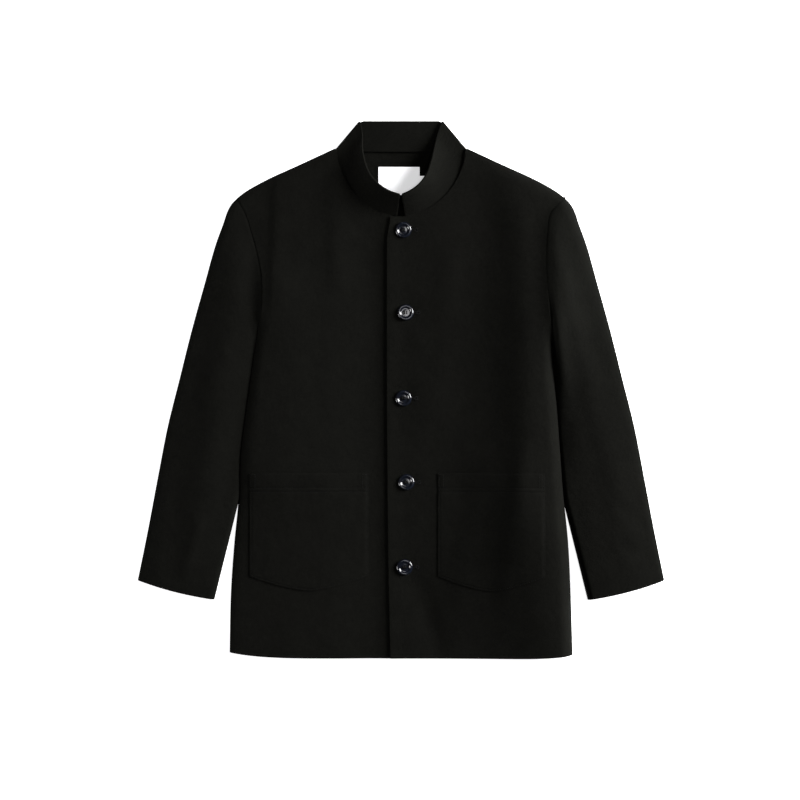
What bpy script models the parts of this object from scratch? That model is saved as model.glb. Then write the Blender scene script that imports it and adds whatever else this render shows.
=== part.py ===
"""Black stand collar jacket, buttoned up and laid flat on its back.

Each piece a tailor would cut is one object. +X is the viewer's right, so the wearer's left front
lies at +X. +Y runs from the hem to the collar and +Z is up, off the surface that the jacket lies on.
Sizes are in millimetres, and MM turns them into Blender's metres.
"""

from collections import namedtuple
import math

import bmesh
import bpy
import numpy as np

MM = 0.001
JACKET = "stand_collar_jacket"
SIDES = {"right": -1, "left": 1}

# Cloth and seams
CLOTH = 2.4
COLLAR_CLOTH = 2.6
POCKET_CLOTH = 1.8
LABEL_CLOTH = 0.6
SEAM = 0.3

# Height of the laid cloth over the surface
LOFT = 8.7
ROLL = 26.0
HEM_SINK = 0.9
HEM_REACH = 60.0
NECK_RISE = 3.2
NECK_RISE_REACH = 65.0
LAP_DIP = 2.9
LAP_DIP_START = -52.0
LAP_DIP_END = -26.0
LAP_LIFT = 0.2
PIT_FADE = 40.0

# Outline of the body
HEM_LOW = -403.5
HEM_CORNER_RISE = 9.5
HEM_BOW = 6
HALF_HEM = 256.0
SHOULDER_SLOPE = math.radians(24.5)
UNDER_FRONT_EDGE = 20.0
BACK_NECK_Y = 356.0
BACK_INSET = 13.5

Edge = namedtuple("Edge", "y right left")
BODY_EDGE = (
    Edge(-394, -256.0, 256.0),
    Edge(-300, -253.0, 253.0),
    Edge(-227, -248.0, 250.0),
    Edge(-172, -243.0, 246.5),
    Edge(-90, -238.0, 241.0),
    Edge(-30, -230.5, 236.0),
    Edge(30, -222.5, 231.0),
    Edge(86, -213.5, 226.0),
    Edge(115, -208.0, 220.5),
    Edge(145, -207.0, 217.5),
    Edge(175, -209.0, 216.0),
    Edge(205, -215.0, 216.0),
    Edge(235, -223.5, 218.0),
    Edge(262, -232.0, 222.0),
    Edge(287, -246.0, 246.0),
)
PIT_Y = 115.0
TIP_Y = 287.0

Point = namedtuple("Point", "x y")
SHOULDER = (
    Point(246, 287),
    Point(235, 295),
    Point(221, 303.5),
    Point(203, 313),
    Point(150, 337.3),
    Point(96, 362),
)
NECKLINE = (
    Point(96, 362),
    Point(95, 345),
    Point(89, 326),
    Point(78.5, 306),
    Point(62.5, 287.5),
    Point(44.5, 274),
    Point(25, 264.5),
    Point(5.5, 259.5),
)
LAP_EDGE = (
    Point(-16, -403.5),
    Point(-19, -274),
    Point(-20, -190),
    Point(-21.5, -15),
    Point(-21.5, 225),
    Point(-16, 259),
)

# Sleeves
CUFF_OUTER = Point(394, -285)
CUFF_INNER = Point(280, -313.5)
CUFF_BOW = 5.0
CUFF_INSET_SHARE = 0.13
UNDER_CUFF_STEPS = 5
SLEEVE_LEAN = 0.248
UNDER_SLEEVE_INSET = {"right": 11.5, "left": 13.5}
SLEEVE_OUTER = (
    Point(246, 287),
    Point(254, 277),
    Point(259, 268),
    Point(265, 250),
    Point(275, 223),
    Point(293, 160),
    Point(313, 88),
    Point(331, 16),
    Point(349, -56),
    Point(363, -128),
    Point(380, -218),
    Point(394, -285),
)

# Collar: its upper edge from the front end to the fold beside the neck
CollarTop = namedtuple("CollarTop", "right_x left_x right_y left_y height")
COLLAR_TOP = (
    CollarTop(-2.5, 3.0, 290.5, 290.5, 34.0),
    CollarTop(-18.0, 13.0, 296.0, 296.0, 34.5),
    CollarTop(-33.0, 27.0, 306.0, 306.5, 33.5),
    CollarTop(-46.0, 37.5, 321.0, 321.0, 31.0),
    CollarTop(-54.0, 43.5, 341.0, 338.0, 26.0),
    CollarTop(-57.5, 48.5, 362.0, 358.0, 18.5),
    CollarTop(-57.5, 53.0, 382.0, 378.0, 10.0),
    CollarTop(-56.0, 56.0, 400.0, 399.0, 4.7),
)
COLLAR_TOP_Y = 403.0
COLLAR_FOLD_SEAM = Point(91.6, 358.4)
COLLAR_FOLD_TOP = Point(56.5, 400.8)
COLLAR_SEAM_INSET = 2.2

# Pockets: inner and outer side, upper edge, corners and lowest point
Pocket = namedtuple("Pocket", "inner outer top corner lowest")
POCKETS = {
    "right": Pocket(-49, -227, -125, -280, -302),
    "left": Pocket(55, 214, -125, -280, -302),
}
POCKET_POINT = 1.5
POCKET_GAP = 0.5

# Buttons: place on the lap and lean in degrees
Button = namedtuple("Button", "x y lean_x lean_y")
BUTTONS = (
    Button(3.8, 239, 2.0, -3.0),
    Button(6.8, 115, -4.0, 2.0),
    Button(3.8, -13, 2.5, -2.0),
    Button(8.2, -139, -2.0, -2.5),
    Button(5.2, -266, 2.5, 2.5),
)
BUTTON_RADIUS = 12.0
BUTTON_STEPS = 24
BUTTON_MERGE = 0.05
HOLE_RADIUS = 1.1
HOLE_SPREAD = 2.2
HOLE_SIDES = 8
HOLE_DEPTH = 20.0
Turn = namedtuple("Turn", "radius height")
BUTTON_PROFILE = (
    Turn(0, 2.0),
    Turn(6.4, 2.0),
    Turn(8.2, 3.2),
    Turn(9.8, 4.0),
    Turn(11.4, 3.4),
    Turn(BUTTON_RADIUS, 2.4),
    Turn(11.2, 0.9),
    Turn(7.6, 0),
    Turn(0, 0),
)

# Label and tab inside the back neck: middle and size
Patch = namedtuple("Patch", "x y width length")
NECK_LABEL = Patch(-3.0, 313.0, 62.0, 42.0)
SIZE_TAB = Patch(36.0, 315.5, 13.0, 10.0)

# Largest folds: a soft ridge along a line, with its reach to each side and its rise
Fold = namedtuple("Fold", "piece x0 y0 x1 y1 reach rise")
FOLDS = (
    Fold("front_left", 186, 290, 200, -380, 26, 3.2),
    Fold("front_right", -172, 330, -180, -80, 24, 2.2),
    Fold("sleeve_right", -262, 200, -318, -290, 22, 2.2),
    Fold("sleeve_left", 318, 170, 352, -250, 26, 1.6),
)
FOLD_FADE = 0.2

# Grid of the cloth panels
ROWS_BELOW_PIT = 22
ROWS_AT_ARMHOLE = 8
SHOULDER_COLUMNS = 9
NECK_COLUMNS = 9
NECK_SHARE = 0.58
LAP_SHARE = 0.92
EDGE_CROWDING = 1.2
EDGE_HOLD = 3
HEM_COLUMNS = 14
SLEEVE_ROWS = 22
INNER_EDGE_POINTS = 60
ARMHOLE_TRIM = 2
COLLAR_COLUMNS = 4
COLLAR_FOLD_STEPS = 6
COLLAR_BACK_STATIONS = 4
POCKET_COLUMNS = 18
POCKET_ROWS = 6
CURVE_SAMPLES = 600

# Colours from the photo
BLACK_CLOTH = (0.007, 0.007, 0.006)
BLACK_RESIN = (0.006, 0.007, 0.010)
WHITE_WEAVE = (0.80, 0.80, 0.78)
CLOTH_ROUGHNESS = 0.9
RESIN_ROUGHNESS = 0.15


def soft_rise(share):
    """Rounds a rolled edge off: 0 at the edge, level from 1 on."""
    return np.sin(np.clip(share, 0, 1) * np.pi / 2)


def ease(low, high, value):
    """Goes smoothly from 0 at low to 1 at high."""
    share = np.clip((value - low) / (high - low), 0, 1)
    return share * share * (3 - 2 * share)


def smooth_curve(points, shares):
    """Points at the given shares of the length of a smooth curve through the given points."""
    points = np.asarray(points, float)
    chord = np.concatenate([[0], np.cumsum(np.linalg.norm(np.diff(points, axis=0), axis=1))])
    slope = np.gradient(points, chord, axis=0)
    place = np.linspace(0, chord[-1], CURVE_SAMPLES)
    span = np.clip(np.searchsorted(chord, place, side="right") - 1, 0, len(chord) - 2)
    length = (chord[span + 1] - chord[span])[:, None]
    t = (place - chord[span])[:, None] / length
    curve = (
        (1 + 2 * t) * (1 - t) ** 2 * points[span]
        + t * (1 - t) ** 2 * length * slope[span]
        + t * t * (3 - 2 * t) * points[span + 1]
        + t * t * (t - 1) * length * slope[span + 1]
    )
    run = np.concatenate([[0], np.cumsum(np.linalg.norm(np.diff(curve, axis=0), axis=1))])
    wanted = np.asarray(shares) * run[-1]
    return np.column_stack([np.interp(wanted, run, column) for column in curve.T])


def even(count):
    """Shares of a length at even steps."""
    return np.linspace(0, 1, count + 1)


def body_edge(side):
    """Side and armhole edge of the body, from hem to shoulder tip."""
    rows = [(getattr(row, side), row.y) for row in BODY_EDGE]
    return smooth_curve(rows, even(CURVE_SAMPLES - 1))


def edge_x(side, y):
    """How far the body's edge lies from the middle at each y."""
    edge = body_edge(side)
    return np.abs(np.interp(y, edge[:, 1], edge[:, 0]))


def hem_y(x):
    """Lower edge of the body, bowed up at the corners."""
    return HEM_LOW + HEM_CORNER_RISE * (np.abs(x) / HALF_HEM) ** HEM_BOW


def folds(piece, x, y):
    """Height that the piece's largest folds add."""
    total = np.zeros_like(x)
    for fold in FOLDS:
        if fold.piece != piece:
            continue
        run_x = fold.x1 - fold.x0
        run_y = fold.y1 - fold.y0
        length = math.hypot(run_x, run_y)
        along = ((x - fold.x0) * run_x + (y - fold.y0) * run_y) / length**2
        across = ((x - fold.x0) * run_y - (y - fold.y0) * run_x) / length
        fade = ease(0, FOLD_FADE, along) * ease(1, 1 - FOLD_FADE, along)
        total = total + fold.rise * fade * np.exp(-((across / fold.reach) ** 2))
    return total


def front_height(side, x, y):
    """Height of a front's upper face over the surface."""
    middle = np.abs(x)
    side_drop = ease(PIT_Y, PIT_Y - PIT_FADE, y)
    side_rise = 1 - side_drop * (1 - soft_rise((edge_x(side, y) - middle) / ROLL))
    shoulder = np.array(SHOULDER[::-1], float)
    below_shoulder = (np.interp(middle, shoulder[:, 0], shoulder[:, 1]) - y) * math.cos(SHOULDER_SLOPE)
    rise = side_rise * soft_rise(below_shoulder / ROLL)
    rim = CLOTH + NECK_RISE * ease(NECKLINE[0].x + NECK_RISE_REACH, NECKLINE[0].x, middle)
    loft = LOFT - HEM_SINK * (1 - soft_rise((y - HEM_LOW) / HEM_REACH))
    height = rim + (loft - rim + folds("front_" + side, x, y)) * rise
    if side == "right":
        return height - LAP_DIP * ease(LAP_DIP_START, LAP_DIP_END, x)
    return height + LAP_LIFT


def patch(bottom, top, start, end, columns, rows):
    """Grid of points between four edge curves; columns and rows are the shares of the steps.

    Each row runs straight between bottom and top, and the bends of the start and end edges fade out inwards.
    """
    u = np.asarray(columns)[None, :, None]
    v = np.asarray(rows)[:, None, None]
    straight = (1 - v) * bottom[None, :, :] + v * top[None, :, :]
    start_bend = start[:, None, :] - straight[:, :1, :]
    end_bend = end[:, None, :] - straight[:, -1:, :]
    return straight + (1 - u) ** EDGE_HOLD * start_bend + u**EDGE_HOLD * end_bend


def material(name, colour, roughness):
    """Plain finish of one piece."""
    finish = bpy.data.materials.new(name)
    finish.use_nodes = True
    shader = finish.node_tree.nodes["Principled BSDF"]
    shader.inputs["Base Color"].default_value = (*colour, 1)
    shader.inputs["Roughness"].default_value = roughness
    shader.inputs["Metallic"].default_value = 0
    return finish


def place(name, data, colour, roughness):
    """Adds one piece of the jacket, carried by the jacket's empty."""
    piece = bpy.data.objects.new(name, data)
    data.materials.append(material(name + "_finish", colour, roughness))
    bpy.data.collections[JACKET].objects.link(piece)
    piece.parent = bpy.data.objects[JACKET + "_origin"]
    return piece


def cloth_sheet(name, points, thickness, offset):
    """Cloth through a grid of points, given its thickness by Solidify."""
    rows, columns = points.shape[0] - 1, points.shape[1] - 1
    grid = bmesh.new()
    bmesh.ops.create_grid(grid, x_segments=columns, y_segments=rows, size=1)
    for vert in grid.verts:
        column = round((vert.co.x + 1) / 2 * columns)
        row = round((vert.co.y + 1) / 2 * rows)
        vert.co = points[row, column] * MM
    grid.normal_update()
    if sum(face.normal.z * face.calc_area() for face in grid.faces) < 0:
        bmesh.ops.reverse_faces(grid, faces=grid.faces)
    mesh = bpy.data.meshes.new(name)
    grid.to_mesh(mesh)
    grid.free()
    mesh.shade_smooth()
    piece = place(name, mesh, BLACK_CLOTH, CLOTH_ROUGHNESS)
    solidify = piece.modifiers.new("thickness", "SOLIDIFY")
    solidify.thickness = thickness * MM
    solidify.offset = offset
    return piece


def flat_cloth(name, outline, thickness, height, colour):
    """Flat cloth with the given outline, lying at the given height."""
    curve = bpy.data.curves.new(name, "CURVE")
    curve.dimensions = "2D"
    curve.fill_mode = "BOTH"
    curve.extrude = thickness / 2 * MM
    spline = curve.splines.new("POLY")
    spline.points.add(len(outline) - 1)
    for point, (x, y) in zip(spline.points, outline):
        point.co = (x * MM, y * MM, 0, 1)
    spline.use_cyclic_u = True
    piece = place(name, curve, colour, CLOTH_ROUGHNESS)
    piece.location.z = (height + thickness / 2) * MM
    return piece


def front_outer(side):
    """Edge points of a front from hem to shoulder tip, with the armhole's steps shared by the sleeve."""
    edge = body_edge(side)
    below = np.linspace(hem_y(HALF_HEM), PIT_Y, ROWS_BELOW_PIT + 1)
    above = np.linspace(PIT_Y, TIP_Y, ROWS_AT_ARMHOLE + 1)[1:]
    y = np.concatenate([below, above])
    return np.column_stack([np.interp(y, edge[:, 1], edge[:, 0]), y])


def front_grid(side):
    """Points of a front's upper face."""
    sign = SIDES[side]
    rows = even(ROWS_BELOW_PIT + ROWS_AT_ARMHOLE)
    shoulder_columns = NECK_SHARE * even(SHOULDER_COLUMNS) ** EDGE_CROWDING
    neck_columns = NECK_SHARE + (LAP_SHARE - NECK_SHARE) * even(NECK_COLUMNS)
    columns = np.concatenate([shoulder_columns, neck_columns[1:], [1]])
    outer = front_outer(side) - [sign * SEAM, 0]
    inner_y = np.linspace(HEM_LOW, LAP_EDGE[-1].y, len(rows))
    if side == "left":
        lap = np.array(LAP_EDGE)
        inner = np.column_stack([np.interp(inner_y, lap[:, 1], lap[:, 0]), inner_y])
    else:
        inner = np.column_stack([np.full(len(rows), UNDER_FRONT_EDGE), inner_y])
    hem_x = outer[0, 0] + columns * (inner[0, 0] - outer[0, 0])
    bottom = np.column_stack([hem_x, hem_y(hem_x)])
    shoulder = smooth_curve(SHOULDER, shoulder_columns / NECK_SHARE) * [sign, 1]
    neckline = smooth_curve(NECKLINE, even(NECK_COLUMNS)[1:]) * [sign, 1]
    top = np.vstack([shoulder, neckline, inner[-1:]])
    outer[0] = bottom[0]
    top[0] = outer[-1]
    inner[0] = bottom[-1]
    plan = patch(bottom, top, outer, inner, columns, rows)
    height = front_height(side, plan[..., 0], plan[..., 1])
    return np.dstack([plan, height])


def make_front(side):
    """One front panel, from the side seam to the lap."""
    return cloth_sheet("front_" + side, front_grid(side), CLOTH, -1)


def sleeve_inner_edge(side):
    """Inner edge of a sleeve: straight up from the cuff, then close along the body to the armpit."""
    y = np.linspace(CUFF_INNER.y, PIT_Y, CURVE_SAMPLES)
    leaning = CUFF_INNER.x - (y - CUFF_INNER.y) * SLEEVE_LEAN
    beside_body = edge_x(side, y) + SEAM
    return np.column_stack([np.maximum(leaning, beside_body) * SIDES[side], y])


def cuff_edge(side, shares):
    """Lower edge of a sleeve, bowed a little outwards."""
    shares = np.asarray(shares)[:, None]
    outer, inner = np.array(CUFF_OUTER), np.array(CUFF_INNER)
    run = inner - outer
    outwards = np.array([-run[1], run[0]]) / np.linalg.norm(run)
    edge = outer + shares * run + CUFF_BOW * 4 * shares * (1 - shares) * outwards
    return edge * [SIDES[side], 1]


def sleeve_grid(side):
    """Points of a top sleeve's upper face, from cuff to armhole."""
    sign = SIDES[side]
    rows = even(SLEEVE_ROWS)
    columns = even(ROWS_AT_ARMHOLE)
    armhole = front_outer(side)[ROWS_BELOW_PIT:][::-1] + [sign * SEAM, 0]
    outer = smooth_curve(SLEEVE_OUTER[::-1], rows) * [sign, 1]
    inner_line = sleeve_inner_edge(side)
    inner = smooth_curve(inner_line[:: CURVE_SAMPLES // INNER_EDGE_POINTS], rows)
    bottom = cuff_edge(side, columns)
    outer[-1] = armhole[0]
    inner[0] = bottom[-1]
    inner[-1] = armhole[-1]
    plan = patch(bottom, armhole, outer, inner, columns, rows)
    width = np.linalg.norm(inner - outer, axis=1)[:, None]
    to_outer = columns[None, :] * width
    to_inner = (1 - columns[None, :]) * width
    inner_drop = ease(PIT_Y, PIT_Y - PIT_FADE, inner[:, 1])[:, None]
    rise = soft_rise(to_outer / ROLL) * (1 - inner_drop * (1 - soft_rise(to_inner / ROLL)))
    added = folds("sleeve_" + side, plan[..., 0], plan[..., 1])
    height = CLOTH + (LOFT - CLOTH + added) * rise
    return np.dstack([plan, height])


def make_sleeve(side):
    """Top and under sleeve, sewn to each other along both edges."""
    cloth_sheet(f"sleeve_{side}_top", sleeve_grid(side), CLOTH, -1)
    inset = UNDER_SLEEVE_INSET[side]
    shift = [SIDES[side] * inset, 0]
    outer = smooth_curve(SLEEVE_OUTER[::-1], even(SLEEVE_ROWS)) * [SIDES[side], 1] - shift
    inner = sleeve_inner_edge(side)[:: CURVE_SAMPLES // SLEEVE_ROWS] + shift
    armhole = front_outer(side)[ROWS_BELOW_PIT:] + shift
    cuff_shares = np.linspace(1 - CUFF_INSET_SHARE, CUFF_INSET_SHARE, UNDER_CUFF_STEPS)
    cuff = cuff_edge(side, cuff_shares) + [0, SEAM]
    below_tip = outer[1:][outer[1:, 1] < TIP_Y - 2 * inset]
    outline = np.vstack([cuff, below_tip, armhole[:-ARMHOLE_TRIM][::-1], inner[::-1][1:-1]])
    flat_cloth(f"sleeve_{side}_under", outline, CLOTH, 0, BLACK_CLOTH)


def make_back():
    """Back panel, flat on the surface, a little inside the fronts that roll round its sides."""
    halves = {}
    for side, sign in SIDES.items():
        edge = front_outer(side) - [sign * BACK_INSET, 0]
        edge = edge[(edge[:, 1] > HEM_LOW + BACK_INSET) & (edge[:, 1] < TIP_Y - BACK_INSET)]
        shoulder = np.array(SHOULDER[1:-1], float) * [sign, 1] - [0, BACK_INSET / math.cos(SHOULDER_SLOPE)]
        neck = [(sign * (NECKLINE[0].x - BACK_INSET), BACK_NECK_Y - BACK_INSET / 2)]
        halves[side] = np.vstack([edge, shoulder, neck])
    hem_x = np.linspace(halves["right"][0, 0], halves["left"][0, 0], HEM_COLUMNS)
    hem = np.column_stack([hem_x, hem_y(hem_x) + SEAM])
    neck_x = np.linspace(halves["left"][-1, 0], halves["right"][-1, 0], COLLAR_BACK_STATIONS)[1:-1]
    neck = np.column_stack([neck_x, np.full(len(neck_x), BACK_NECK_Y)])
    outline = np.vstack([hem, halves["left"], neck, halves["right"][::-1]])
    flat_cloth("back", outline, CLOTH, 0, BLACK_CLOTH)


def collar_front(side):
    """Seam and upper edge of the collar's front half, from the front end to the fold."""
    sign = SIDES[side]
    neckline = smooth_curve(NECKLINE[::-1], even(NECK_COLUMNS))
    run = np.gradient(neckline, axis=0)
    inwards = np.column_stack([-run[:, 1], run[:, 0]]) / np.linalg.norm(run, axis=1)[:, None]
    seam = (neckline + inwards * COLLAR_SEAM_INSET) * [sign, 1]
    seam[-1] = (sign * COLLAR_FOLD_SEAM.x, COLLAR_FOLD_SEAM.y)
    fold_height = COLLAR_TOP[-1].height
    seam_height = np.maximum(front_height(side, seam[:, 0], seam[:, 1]) - CLOTH / 2, fold_height)
    seam_height[-1] = fold_height
    top = [(getattr(row, side + "_x"), getattr(row, side + "_y"), row.height) for row in COLLAR_TOP]
    top[-1] = (sign * COLLAR_FOLD_TOP.x, COLLAR_FOLD_TOP.y, fold_height)
    return np.column_stack([seam, seam_height, smooth_curve(top, even(NECK_COLUMNS))])


def collar_fold(side):
    """The turn beside the neck, from the front half over to the back half."""
    seam = np.array([SIDES[side] * COLLAR_FOLD_SEAM.x, COLLAR_FOLD_SEAM.y])
    top = np.array([SIDES[side] * COLLAR_FOLD_TOP.x, COLLAR_FOLD_TOP.y])
    run = (top - seam) / np.linalg.norm(top - seam)
    outwards = np.array([run[1], -run[0]]) * SIDES[side]
    upper = COLLAR_TOP[-1].height
    lower = COLLAR_CLOTH / 2
    radius = (upper - lower) / 2
    rows = []
    for turn in np.linspace(0, math.pi, COLLAR_FOLD_STEPS + 1)[1:]:
        shift = outwards * radius * math.sin(turn)
        height = lower + radius * (1 + math.cos(turn))
        rows.append((*(seam + shift), height, *(top + shift), height))
    return np.array(rows)


def collar_back():
    """The half behind the neck, lying with its inner face up."""
    height = COLLAR_CLOTH / 2
    rows = []
    for share in np.linspace(-1, 1, COLLAR_BACK_STATIONS + 3)[1:-1]:
        seam_y = BACK_NECK_Y + SEAM + (COLLAR_FOLD_SEAM.y - BACK_NECK_Y) * share**2
        seam = (share * COLLAR_FOLD_SEAM.x, seam_y, height)
        top = (share * COLLAR_FOLD_TOP.x, COLLAR_TOP_Y, height)
        rows.append(seam + top)
    return np.array(rows)


def make_collar():
    """One stand collar band from one front end round the back to the other."""
    stations = np.vstack(
        [
            collar_front("right"),
            collar_fold("right"),
            collar_back(),
            collar_fold("left")[::-1],
            collar_front("left")[::-1],
        ]
    )
    across = even(COLLAR_COLUMNS)[:, None]
    points = np.array([row[:3] + across * (row[3:] - row[:3]) for row in stations])
    cloth_sheet("collar", points, COLLAR_CLOTH, 0)


def make_pocket(side):
    """Patch pocket, made from the front's own surface, moved out."""
    pocket = POCKETS[side]
    shares = even(POCKET_COLUMNS)
    x = pocket.inner + shares * (pocket.outer - pocket.inner)
    low = pocket.lowest + (pocket.corner - pocket.lowest) * np.abs(2 * shares - 1) ** POCKET_POINT
    down = even(POCKET_ROWS)[:, None]
    y = low[None, :] + down * (pocket.top - low[None, :])
    x = np.broadcast_to(x, y.shape)
    height = front_height(side, x, y) + POCKET_GAP + POCKET_CLOTH
    cloth_sheet("pocket_" + side, np.dstack([x, y, height]), POCKET_CLOTH, -1)


def button_mesh():
    """Half section of a button, turned by the Screw modifier of each button."""
    profile = bmesh.new()
    verts = [profile.verts.new((turn.radius * MM, 0, turn.height * MM)) for turn in BUTTON_PROFILE]
    for upper, lower in zip(verts, verts[1:]):
        profile.edges.new((upper, lower))
    mesh = bpy.data.meshes.new("button_profile")
    profile.to_mesh(mesh)
    profile.free()
    return mesh


def hole_cutter():
    """Four thread holes of a button."""
    holes = bmesh.new()
    for quarter in range(4):
        angle = math.pi / 4 + quarter * math.pi / 2
        made = bmesh.ops.create_cone(
            holes,
            cap_ends=True,
            segments=HOLE_SIDES,
            radius1=HOLE_RADIUS * MM,
            radius2=HOLE_RADIUS * MM,
            depth=HOLE_DEPTH * MM,
        )
        shift = (math.cos(angle) * HOLE_SPREAD * MM, math.sin(angle) * HOLE_SPREAD * MM, 0)
        bmesh.ops.translate(holes, verts=made["verts"], vec=shift)
    mesh = bpy.data.meshes.new("thread_holes")
    holes.to_mesh(mesh)
    holes.free()
    return mesh


def make_buttons():
    """Five turned buttons on the lap, each with a slight lean of its own."""
    profile = button_mesh()
    holes = hole_cutter()
    for number, button in enumerate(BUTTONS, start=1):
        piece = place(f"button_{number}", profile.copy(), BLACK_RESIN, RESIN_ROUGHNESS)
        lean = math.radians(math.hypot(button.lean_x, button.lean_y))
        under = front_height("left", np.array([button.x]), np.array([button.y]))[0]
        lift = under + SEAM + BUTTON_RADIUS * math.sin(lean)
        piece.location = (button.x * MM, button.y * MM, lift * MM)
        piece.rotation_euler = (math.radians(button.lean_x), math.radians(button.lean_y), 0)
        turned = piece.modifiers.new("turned", "SCREW")
        turned.steps = BUTTON_STEPS
        turned.render_steps = BUTTON_STEPS
        turned.use_merge_vertices = True
        turned.merge_threshold = BUTTON_MERGE * MM
        cutter = bpy.data.objects.new(f"button_{number}_holes", holes)
        cutter.parent = piece
        cutter.hide_render = True
        cutter.display_type = "WIRE"
        bpy.data.collections["cutters"].objects.link(cutter)
        drilled = piece.modifiers.new("thread_holes", "BOOLEAN")
        drilled.operation = "DIFFERENCE"
        drilled.object = cutter


def make_label(name, label):
    """Woven label lying on the inner face of the back."""
    half_width, half_length = label.width / 2, label.length / 2
    outline = [
        (label.x - half_width, label.y - half_length),
        (label.x + half_width, label.y - half_length),
        (label.x + half_width, label.y + half_length),
        (label.x - half_width, label.y + half_length),
    ]
    flat_cloth(name, outline, LABEL_CLOTH, CLOTH + SEAM, WHITE_WEAVE)


def main():
    for leftover in list(bpy.data.objects):
        bpy.data.objects.remove(leftover)
    for name in (JACKET, "cutters"):
        bpy.context.scene.collection.children.link(bpy.data.collections.new(name))
    origin = bpy.data.objects.new(JACKET + "_origin", None)
    bpy.data.collections[JACKET].objects.link(origin)
    make_back()
    for side in SIDES:
        make_front(side)
        make_sleeve(side)
        make_pocket(side)
    make_collar()
    make_buttons()
    make_label("neck_label", NECK_LABEL)
    make_label("size_tab", SIZE_TAB)


main()
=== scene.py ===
"""Looks of the black stand collar jacket that lies flat on its back.

The cloth shells, stitching, buttons, label, finishes, light and camera. Sizes are in millimetres in the
jacket's own frame, and MM turns them into Blender's metres. +X is the viewer's right, so the wearer's left
front lies at +X; +Y runs from the hem to the collar and +Z is up.
"""

import math
from collections import namedtuple

import bmesh
import bpy
import numpy as np
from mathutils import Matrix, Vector, noise


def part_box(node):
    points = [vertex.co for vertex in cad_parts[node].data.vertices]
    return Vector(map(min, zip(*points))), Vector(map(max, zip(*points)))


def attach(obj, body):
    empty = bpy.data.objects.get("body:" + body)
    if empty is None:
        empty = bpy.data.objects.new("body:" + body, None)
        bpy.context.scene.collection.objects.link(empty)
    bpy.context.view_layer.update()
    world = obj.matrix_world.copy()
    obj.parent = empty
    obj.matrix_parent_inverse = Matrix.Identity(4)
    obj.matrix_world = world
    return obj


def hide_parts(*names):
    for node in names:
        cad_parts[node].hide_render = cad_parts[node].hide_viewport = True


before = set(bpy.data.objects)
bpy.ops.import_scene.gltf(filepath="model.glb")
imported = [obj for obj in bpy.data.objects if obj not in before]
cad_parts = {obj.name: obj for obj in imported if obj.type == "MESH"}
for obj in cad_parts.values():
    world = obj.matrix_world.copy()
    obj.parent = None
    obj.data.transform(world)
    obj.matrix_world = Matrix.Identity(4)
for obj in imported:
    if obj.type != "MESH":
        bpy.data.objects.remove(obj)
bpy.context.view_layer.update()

MM = 0.001
BODY = "root"
SIDES = {"right": -1, "left": 1}

# Cloth
CLOTH = 2.4
COLLAR_CLOTH = 2.6
POCKET_CLOTH = 1.8
SEAM = 0.1

# Height of the laid cloth: a round turn at the sides, then a slow crown
LOFT = 9.0
SLEEVE_LOFT = {"right": 12.5, "left": 18.5}
EDGE_HEIGHT = 3.3
TURN_RADIUS = 9.0
BODY_TURN_RADIUS = 18.0
BODY_CROWN_REACH = 75.0
SLEEVE_CROWN_REACH = {"right": 78.0, "left": 60.0}
BODY_TURN_SHARE = 0.75
SIDE_TURN_SHARE = {"right": 0.85, "left": 0.9}
SLEEVE_TURN_SHARE = 0.36
SLEEVE_INNER_SHARE = {"right": 0.6, "left": 0.3}
CUFF_INNER_SHARE = {"right": 0.6, "left": 0.9}
CUFF_BLEND = (60.0, -220.0)
SLEEVE_BLEND = 0.80
HEM_SINK = 1.2
HEM_REACH = 60.0
NECK_RISE = 3.4
NECK_RISE_REACH = 65.0
LAP_LIFT = 0.3
LAP_GAP = 0.5
LAP_DIP_START = -115.0
LAP_DIP_END = -25.0
LAP_RIDGE = 1.6
LAP_RIDGE_INSET = 1.0
LAP_RIDGE_REACH = 15.0
PIT_FADE = {"right": 40.0, "left": 90.0}
OVERLAP_FADE = 60.0

# Outline of the body
HEM_LOW = -403.5
HEM_CORNER_RISE = {"right": 9.0, "left": 6.0}
HEM_BOW = 6
HALF_HEM = 257.4
SHOULDER_SLOPE = math.radians(24.5)
UNDER_FRONT_EDGE = 20.0
BACK_NECK_Y = 356.0
BACK_INSET = 4.5
BACK_NECK_TUCK = 5.0
PIT_Y = 115.0
TIP_Y = 287.0

Edge = namedtuple("Edge", "y right left")
BODY_EDGE = (
    Edge(-394, -257.4, 257.4),
    Edge(-300, -255.2, 254.4),
    Edge(-227, -250.0, 250.6),
    Edge(-172, -244.6, 245.2),
    Edge(-90, -241.0, 238.8),
    Edge(-30, -233.5, 234.6),
    Edge(30, -225.5, 230.0),
    Edge(86, -216.5, 225.5),
    Edge(115, -209.0, 220.5),
    Edge(145, -207.0, 217.5),
    Edge(175, -209.0, 216.0),
    Edge(205, -215.0, 216.0),
    Edge(235, -223.5, 218.0),
    Edge(262, -232.0, 222.0),
    Edge(287, -246.0, 246.0),
)

Point = namedtuple("Point", "x y")
SHOULDER = (
    Point(246, 287),
    Point(235, 295.8),
    Point(221, 304.4),
    Point(203, 314),
    Point(150, 338.3),
    Point(96, 363),
)
NECKLINE = (
    Point(96, 363),
    Point(95, 345),
    Point(89, 326),
    Point(78.5, 306),
    Point(62.5, 287.5),
    Point(44.5, 274),
    Point(25, 264.5),
    Point(5.5, 259.5),
)
LAP_EDGE = (
    Point(-16, -403.5),
    Point(-19, -274),
    Point(-20, -190),
    Point(-21.5, -15),
    Point(-21.5, 225),
    Point(-16, 259),
)

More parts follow.
